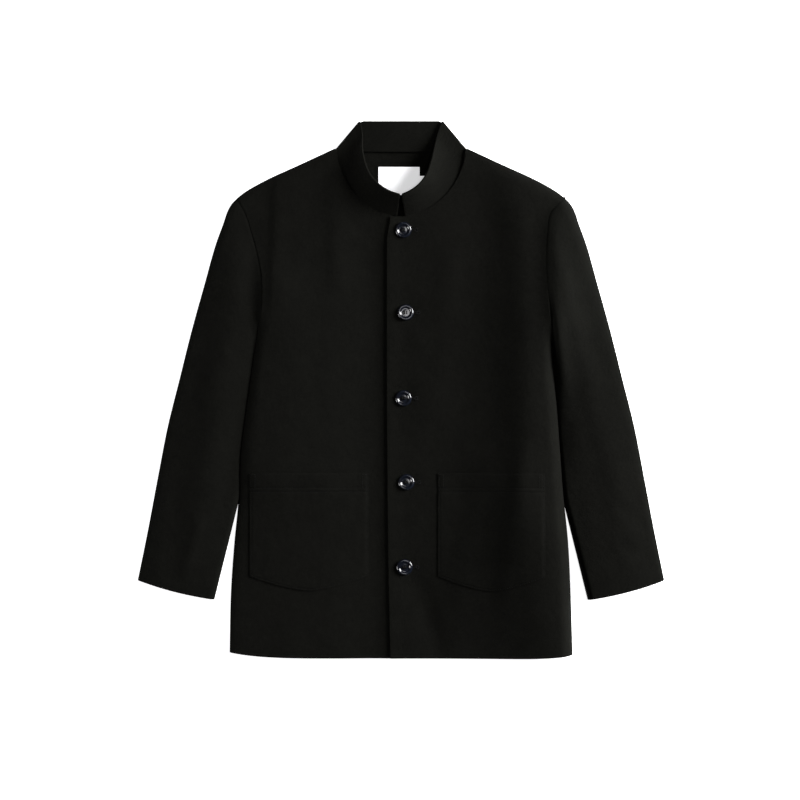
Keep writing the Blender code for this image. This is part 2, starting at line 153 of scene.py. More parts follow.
# Sleeves
CUFF_OUTER = Point(395.2, -286.3)
CUFF_INNER = Point(280, -315.5)
CUFF_BOW = 3.0
CUFF_SINK = 2.0
CUFF_REACH = 35.0
SLEEVE_LEAN = 0.248
SLEEVE_OVERLAP = 2.0
UNDER_SLEEVE_INSET = 4.5
SLEEVE_OUTER = (
    Point(246, 287),
    Point(255, 277.6),
    Point(260.3, 268),
    Point(266.4, 250),
    Point(276.4, 223),
    Point(294.4, 160),
    Point(314.4, 88),
    Point(332.4, 16),
    Point(350.3, -56),
    Point(364.3, -128),
    Point(381.3, -218),
    Point(395.2, -286.3),
)
ARMHOLE_GROOVE = {"right": 0.3, "left": 0.0}
ARMHOLE_GROOVE_REACH = 9.0
SLEEVE_HEAD = {"right": 0.0, "left": 8.5}
SLEEVE_HEAD_PLACE = 18.0
SLEEVE_HEAD_REACH = 19.0
SLEEVE_HEAD_FALL = 60.0
SLEEVE_HEAD_FADE = 150.0
ARMHOLE_BLEND = {"right": 80.0, "left": 220.0}
SLEEVE_TUCK_DIP = 0.9
SLEEVE_TUCK_REACH = 2.2
Tuck = namedtuple("Tuck", "inset drop")
SLEEVE_TUCK = (Tuck(0.4, 1.0), Tuck(1.1, 2.6), Tuck(5.0, 2.9))

# Turned edges: how far and how deep the cloth turns in
TURN_ANGLES = (90, 66, 44, 22)
SIDE_TURN = 3.2
SIDE_LIFT = 0.15
TIP_LIFT = 2.6
TIP_REACH = 9.0
SEAM_TURN = 1.2
SEAM_DROP = 3.2

# Collar: its upper edge from the front end to the fold beside the neck
CollarTop = namedtuple("CollarTop", "right_x left_x right_y left_y height")
COLLAR_TOP = (
    CollarTop(-1.3, 0.9, 290.5, 290.5, 34.0),
    CollarTop(-18.0, 13.0, 296.0, 296.0, 34.5),
    CollarTop(-33.0, 27.0, 306.0, 306.5, 33.5),
    CollarTop(-46.0, 37.5, 321.0, 321.0, 31.0),
    CollarTop(-54.0, 43.5, 341.0, 338.0, 26.0),
    CollarTop(-57.5, 48.5, 362.0, 358.0, 18.5),
    CollarTop(-57.5, 53.0, 382.0, 378.0, 10.0),
    CollarTop(-56.0, 56.0, 400.0, 399.0, 4.7),
)
COLLAR_TOP_Y = 403.0
COLLAR_FOLD_SEAM = Point(97.2, 357.4)
COLLAR_FOLD_TOP = Point(60.6, 401.0)
COLLAR_SEAM_INSET = -2.5
COLLAR_SEAM_DROP = 1.5
COLLAR_BACK_LIFT = 3.4
COLLAR_BOW = 1.6

# Pockets: inner and outer side, upper edge, corners and lowest point
Pocket = namedtuple("Pocket", "inner outer top corner lowest")
POCKETS = {
    "right": Pocket(-49, -227, -125, -280, -302),
    "left": Pocket(55, 214, -125, -280, -302),
}
POCKET_POINT = 1.5
POCKET_GAP = 0.2
POCKET_EDGE_SINK = 1.25
POCKET_EDGE_REACH = 3.4
POCKET_PUCKER = 0.5
POCKET_PUCKER_PITCH = 2
POCKET_HEM_LINES = (22.5, 28.5)
POCKET_HEM_STEPS = (
    *(0.5, 1.3, 2.5, 4.2, 6.4, 10, 15, 19.5, 21.2),
    *(22.5, 23.8, 25.5, 27.2, 28.5, 29.8, 31.5, 35, 40),
)
STITCH_INSET = 2.6
STITCH_SINK = 0.75
STITCH_SINK_REACH = 1.3
CORNER_TACK_WIDTH = 6.0

# Label and the small tab beside it
SIZE_TAB_TUCK = 2.5
LABEL_WAVE = 0.35
LABEL_WAVE_ACROSS = 9.0
LABEL_WAVE_ALONG = 13.0

# Thread
STITCH_LENGTH = 2.7
STITCH_PITCH = 3.3
STITCH_RADIUS = 0.32
STITCH_SIDES = 6
StitchRing = namedtuple("StitchRing", "along girth lift")
STITCH_RINGS = (
    StitchRing(-0.5, 0.35, -0.9),
    StitchRing(-0.36, 0.9, -0.1),
    StitchRing(0, 1.0, 0.25),
    StitchRing(0.36, 0.9, -0.1),
    StitchRing(0.5, 0.35, -0.9),
)

# Buttonholes and buttons
BUTTONHOLE_REACH = 19.0
BUTTONHOLE_BACK = 9.0
BUTTONHOLE_EYE = 2.4
BUTTONHOLE_PITCH = 0.75
BUTTONHOLE_STITCH = 2.3
BUTTONHOLE_SLANT = 0.12
BUTTON_DIMPLE = 0.7
BUTTON_DIMPLE_REACH = 17.0
BUTTON_COUNT = 5
BUTTON_SEGMENTS = 72
BUTTON_SHARP = 50.0
BUTTON_WELD = 0.022
HOLE_RADIUS = 1.1
HOLE_SPREAD = 2.2
HOLE_SIDES = 20
HOLE_COUNT = 4
HOLE_DEPTH = 20.0
THREAD_RADIUS = 0.42
THREAD_STRANDS = (-0.9, -0.3, 0.3, 0.9)
THREAD_SLANT = 0.06
Turn = namedtuple("Turn", "radius height")
BUTTON_PROFILE = (
    Turn(0, 2.35),
    Turn(2.0, 2.31),
    Turn(3.6, 2.22),
    Turn(5.2, 2.08),
    Turn(6.4, 1.98),
    Turn(7.1, 2.25),
    Turn(7.7, 2.85),
    Turn(8.3, 3.5),
    Turn(9.0, 3.9),
    Turn(9.9, 4.0),
    Turn(10.8, 3.8),
    Turn(11.5, 3.3),
    Turn(11.9, 2.7),
    Turn(12.0, 2.2),
    Turn(11.8, 1.5),
    Turn(11.2, 0.9),
    Turn(9.8, 0.3),
    Turn(7.6, 0),
    Turn(0, 0),
)
BUTTON_LEANS = ((2.0, -3.0), (-4.0, 2.0), (2.5, -2.0), (-2.0, -2.5), (2.5, 2.5))

# Folds: a soft ridge (or trough, with a negative rise) along a bowed line that runs down the piece
Fold = namedtuple("Fold", "piece x0 y0 x1 y1 bow left_reach right_reach rise")
FOLDS = (
    Fold("front_left", 167, 430, 173, -400, 26, 42, 130, 12.8),
    Fold("front_left", 188, 300, 226, -640, 4, 100, 150, 13.0),
    Fold("front_left", 224, -130, 246, -560, 0, 60, 40, 10.5),
    Fold("front_left", 86, 300, 44, -90, 0, 40, 30, 3.2),
    Fold("front_left", 142, -60, 84, -380, 0, 30, 70, 4.0),
    Fold("front_left", 184, -60, 148, -345, 0, 12, 16, 2.1),
    Fold("front_left", 12, -262, 62, -420, 4, 17, 17, -3.4),
    Fold("front_left", 6, 108, 30, 58, 3, 8, 8, 1.0),
    Fold("front_right", -181, 400, -192, 90, 0, 9, 45, 3.2),
    Fold("front_right", -196, 215, -214, -190, 0, 60, 105, 8.5),
    Fold("front_right", -97, 335, -90, 130, -4, 16, 30, 2.4),
    Fold("front_right", -100, 242, -31, 205, 5, 8, 8, 0.8),
    Fold("front_right", -84, 196, -30, 160, -4, 8, 8, 0.6),
    Fold("front_right", -178, -90, -150, -440, 6, 58, 130, 3.0),
    Fold("sleeve_right", -230, 390, -318, -330, 0, 36, 34, 4.0),
    Fold("sleeve_right", -300, -180, -332, -290, 5, 10, 10, 1.9),
    Fold("sleeve_right", -345, -90, -368, -320, -4, 15, 15, 2.4),
    Fold("sleeve_right", -252, 60, -300, 10, 5, 13, 13, 1.1),
    Fold("sleeve_left", 322, 190, 356, -300, -8, 34, 34, 1.6),
    Fold("sleeve_left", 318, -170, 366, -212, 4, 9, 9, -1.3),
    Fold("sleeve_left", 322, -225, 372, -250, -4, 9, 9, -1.1),
    Fold("sleeve_left", 262, 70, 318, 30, 5, 14, 14, -1.0),
    Fold("back", -120, 300, -150, -300, 18, 40, 40, 0.8),
    Fold("back", 110, 260, 140, -340, -14, 36, 36, 0.7),
    Fold("back", -30, 180, 10, -200, 10, 50, 50, 0.5),
)
FOLD_FADE = 0.22

# Soft unevenness of the cloth
Ripple = namedtuple("Ripple", "across along rise seed")
RIPPLES = (
    Ripple(52.0, 120.0, 1.1, 3.0),
    Ripple(21.0, 34.0, 0.30, 11.0),
)

# Grids of the cloth shells
CROWDED = (0.5, 1.3, 2.5, 4.2, 6.4)
CROWD_CLEAR = 1.2
FRONT_COLUMNS = 52
FRONT_ROWS = 150
SLEEVE_COLUMNS = 28
SLEEVE_ROWS = 118
BACK_COLUMNS = 24
BACK_ROWS = 80
UNDER_COLUMNS = 14
UNDER_ROWS = 70
COLLAR_NECK_STATIONS = 60
COLLAR_FOLD_STEPS = 10
COLLAR_BACK_STATIONS = 40
COLLAR_ACROSS = 14
POCKET_COLUMNS = 44
POCKET_ROWS = 44
LABEL_STEPS = 24
CURVE_SAMPLES = 800
NECK_SHARE = 0.58
LAP_SHARE = 0.92
EDGE_HOLD = 3
EDGE_SAMPLES = 60
SLOPE_STEP = 0.4

# Camera, floor and light
PHOTO_SIZE = 800
PHOTO_MM_PER_PIXEL = 1.5
PHOTO_MIDDLE = Point(-1.5, -15.75)
CAMERA_DISTANCE = 3.5
CAMERA_SENSOR = 36.0
CAMERA_PLANE = 5.0
FLOOR_SIZE = 40.0
FLOOR_DROP = 0.3
FLOOR_GLOW = 0.85
Lamp = namedtuple("Lamp", "name x y z size power")
LAMPS = (
    Lamp("key_right", 4.4, 1.5, 1.75, 2.8, 980.0),
    Lamp("fill_left", -3.7, -1.2, 0.7, 1.8, 130.0),
    Lamp("overhead", 0.55, 0.55, 3.4, 1.3, 25.0),
)
WORLD_STRENGTH = 0.05

# Colours
# The wool's colour is darker in the low parts of its weave, which is painted shade, and mottled at random by
# its dye.
WOOL_DARK = (0.0020, 0.0020, 0.0017)
WOOL_LIGHT = (0.0050, 0.0051, 0.0042)
THREAD_DARK = (0.0018, 0.0018, 0.0017)
THREAD_LIGHT = (0.0045, 0.0045, 0.0042)
RESIN_DARK = (0.0014, 0.0017, 0.0030)
RESIN_LIGHT = (0.0035, 0.0050, 0.0095)
TAPE_WHITE = (0.86, 0.86, 0.87)
# Painted shade: the tape's grey in the low parts of its weave.
TAPE_SHADE = (0.70, 0.70, 0.72)
# Painted light: the label's tape glows so that it stays white in the collar's shadow.
TAPE_PAINTED_GLOW = 0.5
FLOOR_WHITE = (0.92, 0.92, 0.92)

# Weave, nap and shine of the finishes
VECTOR = "NodeSocketVector"
FLOAT = "NodeSocketFloat"
NAP_OUTPUTS = (("Height", FLOAT), ("Felting", FLOAT), ("Mottle", FLOAT))
Grain = namedtuple("Grain", "scale detail roughness")
YARN_WANDER = Grain(180.0, 2.0, 0.5)
FIBRES = Grain(900.0, 3.0, 0.7)
CLUMPS = Grain(260.0, 4.0, 0.65)
DYE = Grain(38.0, 5.0, 0.6)
FELTING = Grain(115.0, 3.0, 0.6)
RESIN_CLOUDS = Grain(140.0, 3.0, 0.5)
TWILL_SLANT = 0.62
TWILL_WANDER = 0.9
TWILL_PICKS = 0.35
TWILL_HEIGHT = 0.37
NAP_SHARES = (0.4, 0.6)
MOTTLE_SHARES = (0.45, 0.55)
# Shares of the painted weave shade and of the random dye mottle in the wool's colour.
WOOL_WEAVE_SHADE_AND_MOTTLE_SHARES = (0.4, 0.6)
WOOL_PITCH = 1.15
TAPE_PITCH = 0.5
Span = namedtuple("Span", "low high")
WOOL_SPAN = Span(0.25, 0.75)
THREAD_SPAN = Span(0.3, 0.7)
RESIN_SPAN = Span(0.35, 0.7)
TAPE_SPAN = Span(0.0, 0.45)
WOOL_ROUGH = Span(0.82, 0.98)
RESIN_ROUGH = Span(0.10, 0.20)
THREAD_ROUGH = 0.55
TAPE_ROUGH = 0.6
FLOOR_ROUGH = 0.9
Relief = namedtuple("Relief", "distance strength")
TWILL_RELIEF = Relief(0.22, 0.5)
NAP_RELIEF = Relief(0.5, 0.55)
FELTING_RELIEF = Relief(1.4, 0.6)
THREAD_RELIEF = Relief(0.1, 0.5)
TAPE_RELIEF = Relief(0.06, 0.4)
WOOL_SHINE = 0.02
WOOL_SHEEN = 0.004
WOOL_SHEEN_ROUGH = 0.45
THREAD_SHINE = 0.06
RESIN_SHINE = 0.45
RESIN_IOR = 1.6
TAPE_SHEEN = 0.1
FLOOR_SHINE = 0.1


def soft_rise(share):
    """Goes from 0 to 1 and levels off, like a quarter of a sine wave."""
    return np.sin(np.clip(share, 0, 1) * np.pi / 2)


def round_turn(share):
    """Goes from 0 to 1 along a quarter of a circle that starts upright."""
    return np.sqrt(1 - (1 - np.clip(share, 0, 1)) ** 2)


def ease(low, high, value):
    """Goes smoothly from 0 at low to 1 at high."""
    share = np.clip((value - low) / (high - low), 0, 1)
    return share * share * (3 - 2 * share)


def bump_at(distance, reach):
    """A soft rise of height 1 where the distance is 0."""
    return np.exp(-((distance / reach) ** 2))


def smooth_curve(points, shares):
    """Points at the given shares of the length of a smooth curve through the given points."""
    points = np.asarray(points, float)
    chord = np.concatenate([[0], np.cumsum(np.linalg.norm(np.diff(points, axis=0), axis=1))])
    slope = np.gradient(points, chord, axis=0)
    place = np.linspace(0, chord[-1], CURVE_SAMPLES)
    span = np.clip(np.searchsorted(chord, place, side="right") - 1, 0, len(chord) - 2)
    length = (chord[span + 1] - chord[span])[:, None]
    t = (place - chord[span])[:, None] / length
    curve = (
        (1 + 2 * t) * (1 - t) ** 2 * points[span]
        + t * (1 - t) ** 2 * length * slope[span]
        + t * t * (3 - 2 * t) * points[span + 1]
        + t * t * (t - 1) * length * slope[span + 1]
    )
    run = np.concatenate([[0], np.cumsum(np.linalg.norm(np.diff(curve, axis=0), axis=1))])
    wanted = np.asarray(shares) * run[-1]
    return np.column_stack([np.interp(wanted, run, column) for column in curve.T])


def even(count):
    """Shares of a length at even steps."""
    return np.linspace(0, 1, count + 1)


def crowded(count, length):
    """Shares of a length at even steps, with more of them close to both ends."""
    near = np.array(CROWDED) / length
    inner = np.linspace(0, 1, count + 1)
    clear = near[-1] * CROWD_CLEAR
    inner = inner[(inner > clear) & (inner < 1 - clear)]
    return np.concatenate([[0], near, inner, 1 - near[::-1], [1]])


def body_edge(side):
    """Side and armhole edge of the body, from hem to shoulder tip."""
    rows = [(getattr(row, side), row.y) for row in BODY_EDGE]
    return smooth_curve(rows, even(CURVE_SAMPLES - 1))


def edge_x(side, y):
    """How far the body's edge lies from the middle at each y."""
    edge = body_edge(side)
    return np.abs(np.interp(y, edge[:, 1], edge[:, 0]))


def hem_y(x):
    """Lower edge of the body, bowed up at the corners."""
    rise = np.where(x < 0, HEM_CORNER_RISE["right"], HEM_CORNER_RISE["left"])
    return HEM_LOW + rise * (np.abs(x) / HALF_HEM) ** HEM_BOW


def lap_x(y):
    """Edge of the upper front's lap."""
    lap = np.array(LAP_EDGE)
    return np.interp(y, lap[:, 1], lap[:, 0])


def folds(piece, x, y):
    """Height that the piece's folds add."""
    total = np.zeros_like(x)
    for fold in FOLDS:
        if fold.piece != piece:
            continue
        run_x = fold.x1 - fold.x0
        run_y = fold.y1 - fold.y0
        length = math.hypot(run_x, run_y)
        along = ((x - fold.x0) * run_x + (y - fold.y0) * run_y) / length**2
        across = ((x - fold.x0) * run_y - (y - fold.y0) * run_x) / length
        across = across + fold.bow * 4 * along * (1 - along)
        fade = ease(0, FOLD_FADE, along) * ease(1, 1 - FOLD_FADE, along)
        reach = np.where(across > 0, fold.left_reach, fold.right_reach)
        total = total + fold.rise * fade * bump_at(across, reach)
    return total


def ripples(x, y):
    """Small soft unevenness of cloth that was smoothed out by hand."""
    total = np.zeros_like(x)
    for ripple in RIPPLES:
        places = zip((x / ripple.across).ravel(), (y / ripple.along).ravel())
        values = [noise.noise(Vector((across, along, ripple.seed))) for across, along in places]
        total = total + ripple.rise * np.array(values).reshape(x.shape)
    return total


def side_rise(distance, turn_share, crown_reach, turn_radius=TURN_RADIUS):
    """Rise of the cloth from its side edge: first a round turn, then a slow crown."""
    turn = round_turn(distance / turn_radius)
    crown = soft_rise(distance / crown_reach)
    return turn_share * turn + (1 - turn_share) * crown


def body_rise(distance, turn_share=BODY_TURN_SHARE):
    """Rise of a front from its edge."""
    return side_rise(distance, turn_share, BODY_CROWN_REACH, BODY_TURN_RADIUS)


def button_middle(number):
    """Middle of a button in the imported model, in millimetres."""
    low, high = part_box(f"button_{number}")
    return (low + high) / 2 / MM


BUTTON_MIDDLES = [button_middle(number) for number in range(1, BUTTON_COUNT + 1)]


def button_dimples(x, y):
    """The buttons pull the lap down a little."""
    total = np.zeros_like(x)
    for middle in BUTTON_MIDDLES:
        total = total - BUTTON_DIMPLE * bump_at(np.hypot(x - middle.x, y - middle.y), BUTTON_DIMPLE_REACH)
    return total


def sleeve_head(side, beyond_seam):
    """The head of a sleeve lifts the cloth on both sides of the armhole seam."""
    across = beyond_seam - SLEEVE_HEAD_PLACE
    return SLEEVE_HEAD[side] * bump_at(across, np.where(across < 0, SLEEVE_HEAD_REACH, SLEEVE_HEAD_FALL))


def front_free_height(side, x, y):
    """Height of a front's upper face, without what the other front does to it."""
    middle = np.abs(x)
    below_pit = ease(PIT_Y, PIT_Y - PIT_FADE[side], y)
    from_edge = edge_x(side, y) - middle
    from_side = 1 - below_pit * (1 - body_rise(from_edge, SIDE_TURN_SHARE[side]))
    shoulder = np.array(SHOULDER[::-1], float)
    below_shoulder = (np.interp(middle, shoulder[:, 0], shoulder[:, 1]) - y) * math.cos(SHOULDER_SLOPE)
    rise = from_side * body_rise(below_shoulder)
    rim = EDGE_HEIGHT + NECK_RISE * ease(NECKLINE[0].x + NECK_RISE_REACH, NECKLINE[0].x, middle)
    loft = LOFT - HEM_SINK * (1 - soft_rise((y - HEM_LOW) / HEM_REACH))
    shape = folds("front_" + side, x, y) + ripples(x, y)
    groove = ARMHOLE_GROOVE[side] * bump_at(from_edge, ARMHOLE_GROOVE_REACH)
    seam = (sleeve_head(side, -from_edge) - groove) * (1 - below_pit)
    return rim + (loft - rim + shape + seam) * rise


def lap_height(x, y):
    """Upper face of the lapping front."""
    ridge = LAP_RIDGE * bump_at(x - lap_x(y) - LAP_RIDGE_INSET, LAP_RIDGE_REACH)
    return front_free_height("left", x, y) + LAP_LIFT + ridge + button_dimples(x, y)


def front_height(side, x, y):
    """Upper face of a front. The right one dips under the lap of the left one."""
    if side == "left":
        return lap_height(x, y)
    free = front_free_height("right", x, y)
    under = np.minimum(free, lap_height(x, y) - CLOTH - LAP_GAP)
    dip = ease(LAP_DIP_START, LAP_DIP_END, x)
    return free + (under - free) * dip


def patch(bottom, top, start, end, columns, rows):
    """Grid of points between four edge curves; columns and rows are the shares of the steps.

    Each row runs straight between bottom and top, and the bends of the start and end edges fade out inwards.
    """
    u = np.asarray(columns)[None, :, None]
    v = np.asarray(rows)[:, None, None]
    straight = (1 - v) * bottom[None, :, :] + v * top[None, :, :]
    start_bend = start[:, None, :] - straight[:, :1, :]
    end_bend = end[:, None, :] - straight[:, -1:, :]
    return straight + (1 - u) ** EDGE_HOLD * start_bend + u**EDGE_HOLD * end_bend


def front_outer(side, rows):
    """Edge points of a front from hem to shoulder tip."""
    edge = body_edge(side)
    low = hem_y(SIDES[side] * HALF_HEM)
    y = low + rows * (TIP_Y - low)
    return np.column_stack([np.interp(y, edge[:, 1], edge[:, 0]), y])


def front_plan(side):
    """Plan of a front panel."""
    sign = SIDES[side]
    rows = crowded(FRONT_ROWS, TIP_Y - HEM_LOW)
    columns = crowded(FRONT_COLUMNS, HALF_HEM)
    outer = front_outer(side, rows) - [sign * SEAM, 0]
    inner_y = HEM_LOW + rows * (LAP_EDGE[-1].y - HEM_LOW)
    if side == "left":
        inner = np.column_stack([lap_x(inner_y), inner_y])
    else:
        inner = np.column_stack([np.full(len(rows), UNDER_FRONT_EDGE), inner_y])
    hem_x = outer[0, 0] + columns * (inner[0, 0] - outer[0, 0])
    bottom = np.column_stack([hem_x, hem_y(hem_x)])
    at_shoulder = columns <= NECK_SHARE
    at_neck = (columns > NECK_SHARE) & (columns <= LAP_SHARE)
    at_lap = columns > LAP_SHARE
    neck_shares = (columns[at_neck] - NECK_SHARE) / (LAP_SHARE - NECK_SHARE)
    lap_shares = (columns[at_lap] - LAP_SHARE) / (1 - LAP_SHARE)
    shoulder = smooth_curve(SHOULDER, columns[at_shoulder] / NECK_SHARE) * [sign, 1]
    neckline = smooth_curve(NECKLINE, neck_shares) * [sign, 1]
    lap_start = np.array(NECKLINE[-1]) * [sign, 1]
    lap = lap_start + lap_shares[:, None] * (inner[-1] - lap_start)
    top = np.vstack([shoulder, neckline, lap])
    outer[0] = bottom[0]
    top[0] = outer[-1]
    inner[0] = bottom[-1]
    return patch(bottom, top, outer, inner, columns, rows)


def edge_inwards(edge, inside):
    """Unit directions in plan that are square to an edge and point to the inside."""
    run = np.gradient(edge[:, :2], axis=0)
    square = np.column_stack([run[:, 1], -run[:, 0]])
    square = square / np.maximum(np.linalg.norm(square, axis=1), SEAM * MM)[:, None]
    way = np.sign(np.sum(square * (inside[:, :2] - edge[:, :2]), axis=1))
    return square * way[:, None]


def turned_edge(edge, inside, radius, drop):
    """Rows of points that turn down and in under an edge, from the innermost to the edge."""
    inwards = edge_inwards(edge, inside)
    rows = []
    for angle in np.radians(TURN_ANGLES):
        plan = edge[:, :2] + inwards * (radius * (1 - math.cos(angle)))[:, None]
        rows.append(np.column_stack([plan, edge[:, 2] - drop * math.sin(angle)]))
    return np.array(rows)


def side_turn(edge, share):
    """Radius and drop of a turn: down to the surface where the share is 1, a mere seam where it is 0."""
    radius = SEAM_TURN + (SIDE_TURN - SEAM_TURN) * share
    drop = SEAM_DROP + (edge[:, 2] - SIDE_LIFT - SEAM_DROP) * share
    return radius, drop


def turn_first_column(points, share, inside=None):
    """Adds columns that turn the first column of a grid under."""
    edge = points[:, 0]
    if inside is None:
        inside = points[:, len(CROWDED)]
    turned = turned_edge(edge, inside, *side_turn(edge, share))
    return np.hstack([np.moveaxis(turned, 0, 1), points])


def turn_last_row(points, share):
    """Adds rows that turn the last row of a grid under."""
    edge = points[-1]
    turned = turned_edge(edge, points[-1 - len(CROWDED)], *side_turn(edge, share))
    return np.vstack([points, turned[::-1]])


def with_height(plan, height):
    """Puts a plan and its height together."""
    return np.dstack([plan, height])


def cut_coordinates(points, lean):
    """Where each point lies on the flat cut cloth, with the grain along the second axis."""
    x, y, z = points[..., 0], points[..., 1], points[..., 2]
    across = x * math.cos(lean) + y * math.sin(lean)
    along = y * math.cos(lean) - x * math.sin(lean)
    return np.dstack([across - np.sign(x) * z, along])


def band_coordinates(points):
    """Cut coordinates of a band: along its length and across it."""
    along = np.linalg.norm(np.diff(points, axis=0), axis=2)
    along = np.vstack([np.zeros((1, points.shape[1])), np.cumsum(along, axis=0)])
    across = np.linalg.norm(np.diff(points, axis=1), axis=2)
    across = np.hstack([np.zeros((points.shape[0], 1)), np.cumsum(across, axis=1)])
    return np.dstack([along, across])


def sheet_mesh(name, points, cut):
    """Quad mesh through a grid of points, with the flat cut as its UV map."""
    rows, columns = points.shape[:2]
    number = np.arange(rows * columns).reshape(rows, columns)
    corners = (number[:-1, :-1], number[:-1, 1:], number[1:, 1:], number[1:, :-1])
    faces = np.stack(corners, axis=-1).reshape(-1, 4)
    flat = points.reshape(-1, 3)
    edge_a = flat[faces[:, 1]] - flat[faces[:, 0]]
    edge_b = flat[faces[:, 3]] - flat[faces[:, 0]]
    if np.cross(edge_a, edge_b)[:, 2].sum() < 0:
        faces = faces[:, ::-1]
    mesh = bpy.data.meshes.new(name)
    mesh.from_pydata((flat * MM).tolist(), [], faces.tolist())
    layer = mesh.uv_layers.new(name="cut")
    layer.data.foreach_set("uv", (cut.reshape(-1, 2)[faces.ravel()] * MM).ravel())
    mesh.shade_smooth()
    return mesh


def add_piece(name, mesh, finish):
    """Adds one piece to the jacket, with its finish."""
    piece = bpy.data.objects.new(name, mesh)
    bpy.context.scene.collection.objects.link(piece)
    mesh.materials.append(finish)
    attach(piece, BODY)
    return piece


def cloth_shell(node, points, cut, thickness, offset, finish):
    """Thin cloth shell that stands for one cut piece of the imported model."""
    piece = add_piece(node + "_cloth", sheet_mesh(node + "_cloth", points, cut), finish)
    solidify = piece.modifiers.new("thickness", "SOLIDIFY")
    solidify.thickness = thickness * MM
    solidify.offset = offset
    smooth = piece.modifiers.new("soft_edges", "SUBSURF")
    smooth.levels = 1
    smooth.render_levels = 1
    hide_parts(node)
    return piece


def make_front(side, finish):
    """One front panel, from the side seam to the lap."""
    plan = front_plan(side)
    points = with_height(plan, front_height(side, plan[..., 0], plan[..., 1]))
    points = turn_first_column(points, ease(PIT_Y, PIT_Y - PIT_FADE[side], points[:, 0, 1]))
    points = turn_last_row(points, ease(NECKLINE[0].x, NECKLINE[0].x + TURN_RADIUS, np.abs(points[-1, :, 0])))
    to_tip = np.linalg.norm(points[..., :2] - plan[-1, 0], axis=-1)
    points[..., 2] = np.maximum(points[..., 2], TIP_LIFT * bump_at(to_tip, TIP_REACH))
    piece = cloth_shell("front_" + side, points, cut_coordinates(points, 0), CLOTH, -1, finish)


def sleeve_lean(side):
    """How far a sleeve's grain leans."""
    return math.atan(SLEEVE_LEAN) * SIDES[side]


def sleeve_inner_edge(side):
    """Inner edge of a sleeve: straight up from the cuff, then close along the body to the armpit."""
    y = np.linspace(CUFF_INNER.y, PIT_Y, CURVE_SAMPLES)
    leaning = CUFF_INNER.x - (y - CUFF_INNER.y) * SLEEVE_LEAN
    beside_body = edge_x(side, y) + SEAM - SLEEVE_OVERLAP * ease(PIT_Y, PIT_Y - OVERLAP_FADE, y)
    return np.column_stack([np.maximum(leaning, beside_body) * SIDES[side], y])


def cuff_edge(side, shares):
    """Lower edge of a sleeve, bowed a little outwards."""
    shares = np.asarray(shares)[:, None]
    outer, inner = np.array(CUFF_OUTER), np.array(CUFF_INNER)
    run = inner - outer
    outwards = np.array([-run[1], run[0]]) / np.linalg.norm(run)
    edge = outer + shares * run + CUFF_BOW * 4 * shares * (1 - shares) * outwards
    return edge * [SIDES[side], 1]


def armhole_line(side, shares):
    """Armhole seam from the shoulder tip down to the armpit."""
    edge = body_edge(side)
    y = TIP_Y + np.asarray(shares) * (PIT_Y - TIP_Y)
    return np.column_stack([np.interp(y, edge[:, 1], edge[:, 0]) + SIDES[side] * SEAM, y])


def sleeve_plan(side, columns, rows, inset=0.0):
    """Plan of a sleeve from cuff to armhole, drawn in by the inset at both edges."""
    shift = np.array([SIDES[side] * inset, 0])
    outer = smooth_curve(SLEEVE_OUTER[::-1], rows) * [SIDES[side], 1]
    inner = smooth_curve(sleeve_inner_edge(side)[:: CURVE_SAMPLES // EDGE_SAMPLES], rows)
    bottom = cuff_edge(side, columns)
    armhole = armhole_line(side, columns)
    outer[-1] = armhole[0]
    inner[0] = bottom[-1]
    inner[-1] = armhole[-1]
    plan = patch(bottom, armhole, outer, inner, columns, rows)
    pull = (2 * np.asarray(columns) - 1)[None, :, None]
    return plan + pull * shift


def sleeve_height(side, plan, columns, rows):
    """Upper face of a top sleeve. Close to the armhole it follows the body's height."""
    width = np.linalg.norm(plan[:, -1] - plan[:, 0], axis=1)[:, None]
    to_outer = columns[None, :] * width
    to_inner = (1 - columns[None, :]) * width
    like_sleeve = ease(1, SLEEVE_BLEND, rows)[:, None]
    turn_share = BODY_TURN_SHARE + (SLEEVE_TURN_SHARE - BODY_TURN_SHARE) * like_sleeve
    reach = BODY_CROWN_REACH + (SLEEVE_CROWN_REACH[side] - BODY_CROWN_REACH) * like_sleeve
    loft = LOFT + (SLEEVE_LOFT[side] - LOFT) * like_sleeve
    below_pit = ease(PIT_Y, PIT_Y - PIT_FADE[side], plan[:, -1:, 1])
    rise = side_rise(to_outer, turn_share, reach)
    near_cuff = ease(*CUFF_BLEND, plan[:, -1:, 1])
    upper_share, cuff_share = SLEEVE_INNER_SHARE[side], CUFF_INNER_SHARE[side]
    inner_share = upper_share + (cuff_share - upper_share) * near_cuff
    inner_rise = side_rise(to_inner, inner_share, reach)
    fall = 1 - below_pit * (1 - inner_rise)
    rise = rise * fall
    x, y = plan[..., 0], plan[..., 1]
    from_cuff = y - cuff_edge(side, columns)[None, :, 1]
    to_armhole = np.linalg.norm(plan - plan[-1:], axis=2)
    sink = CUFF_SINK * (1 - soft_rise(from_cuff / CUFF_REACH))
    shape = folds("sleeve_" + side, x, y) + ripples(x, y) - sink
    height = EDGE_HEIGHT + (loft - EDGE_HEIGHT + shape) * rise
    beyond_seam = np.abs(x) - edge_x(side, y)
    below_head = ease(PIT_Y, PIT_Y - SLEEVE_HEAD_FADE, y)
    head = sleeve_head(side, beyond_seam) * rise * (1 - below_head)
    seam_step = front_height(side, x[-1], y[-1]) - height[-1] - head[-1]
    near_armhole = 1 - ease(0, ARMHOLE_BLEND[side], to_armhole)
    dip = SLEEVE_TUCK_DIP * bump_at(beyond_seam, SLEEVE_TUCK_REACH)
    return height + head + (near_armhole * seam_step - dip) * fall


def tuck_last_row(points, side):
    """Adds rows that run on under the front."""
    edge = points[-1]
    inwards = edge_inwards(edge, edge + [SIDES[side], 0, 0])
    rows = []
    for step in SLEEVE_TUCK:
        rows.append(np.column_stack([edge[:, :2] - inwards * step.inset, edge[:, 2] - step.drop]))
    return np.vstack([points, np.array(rows)])


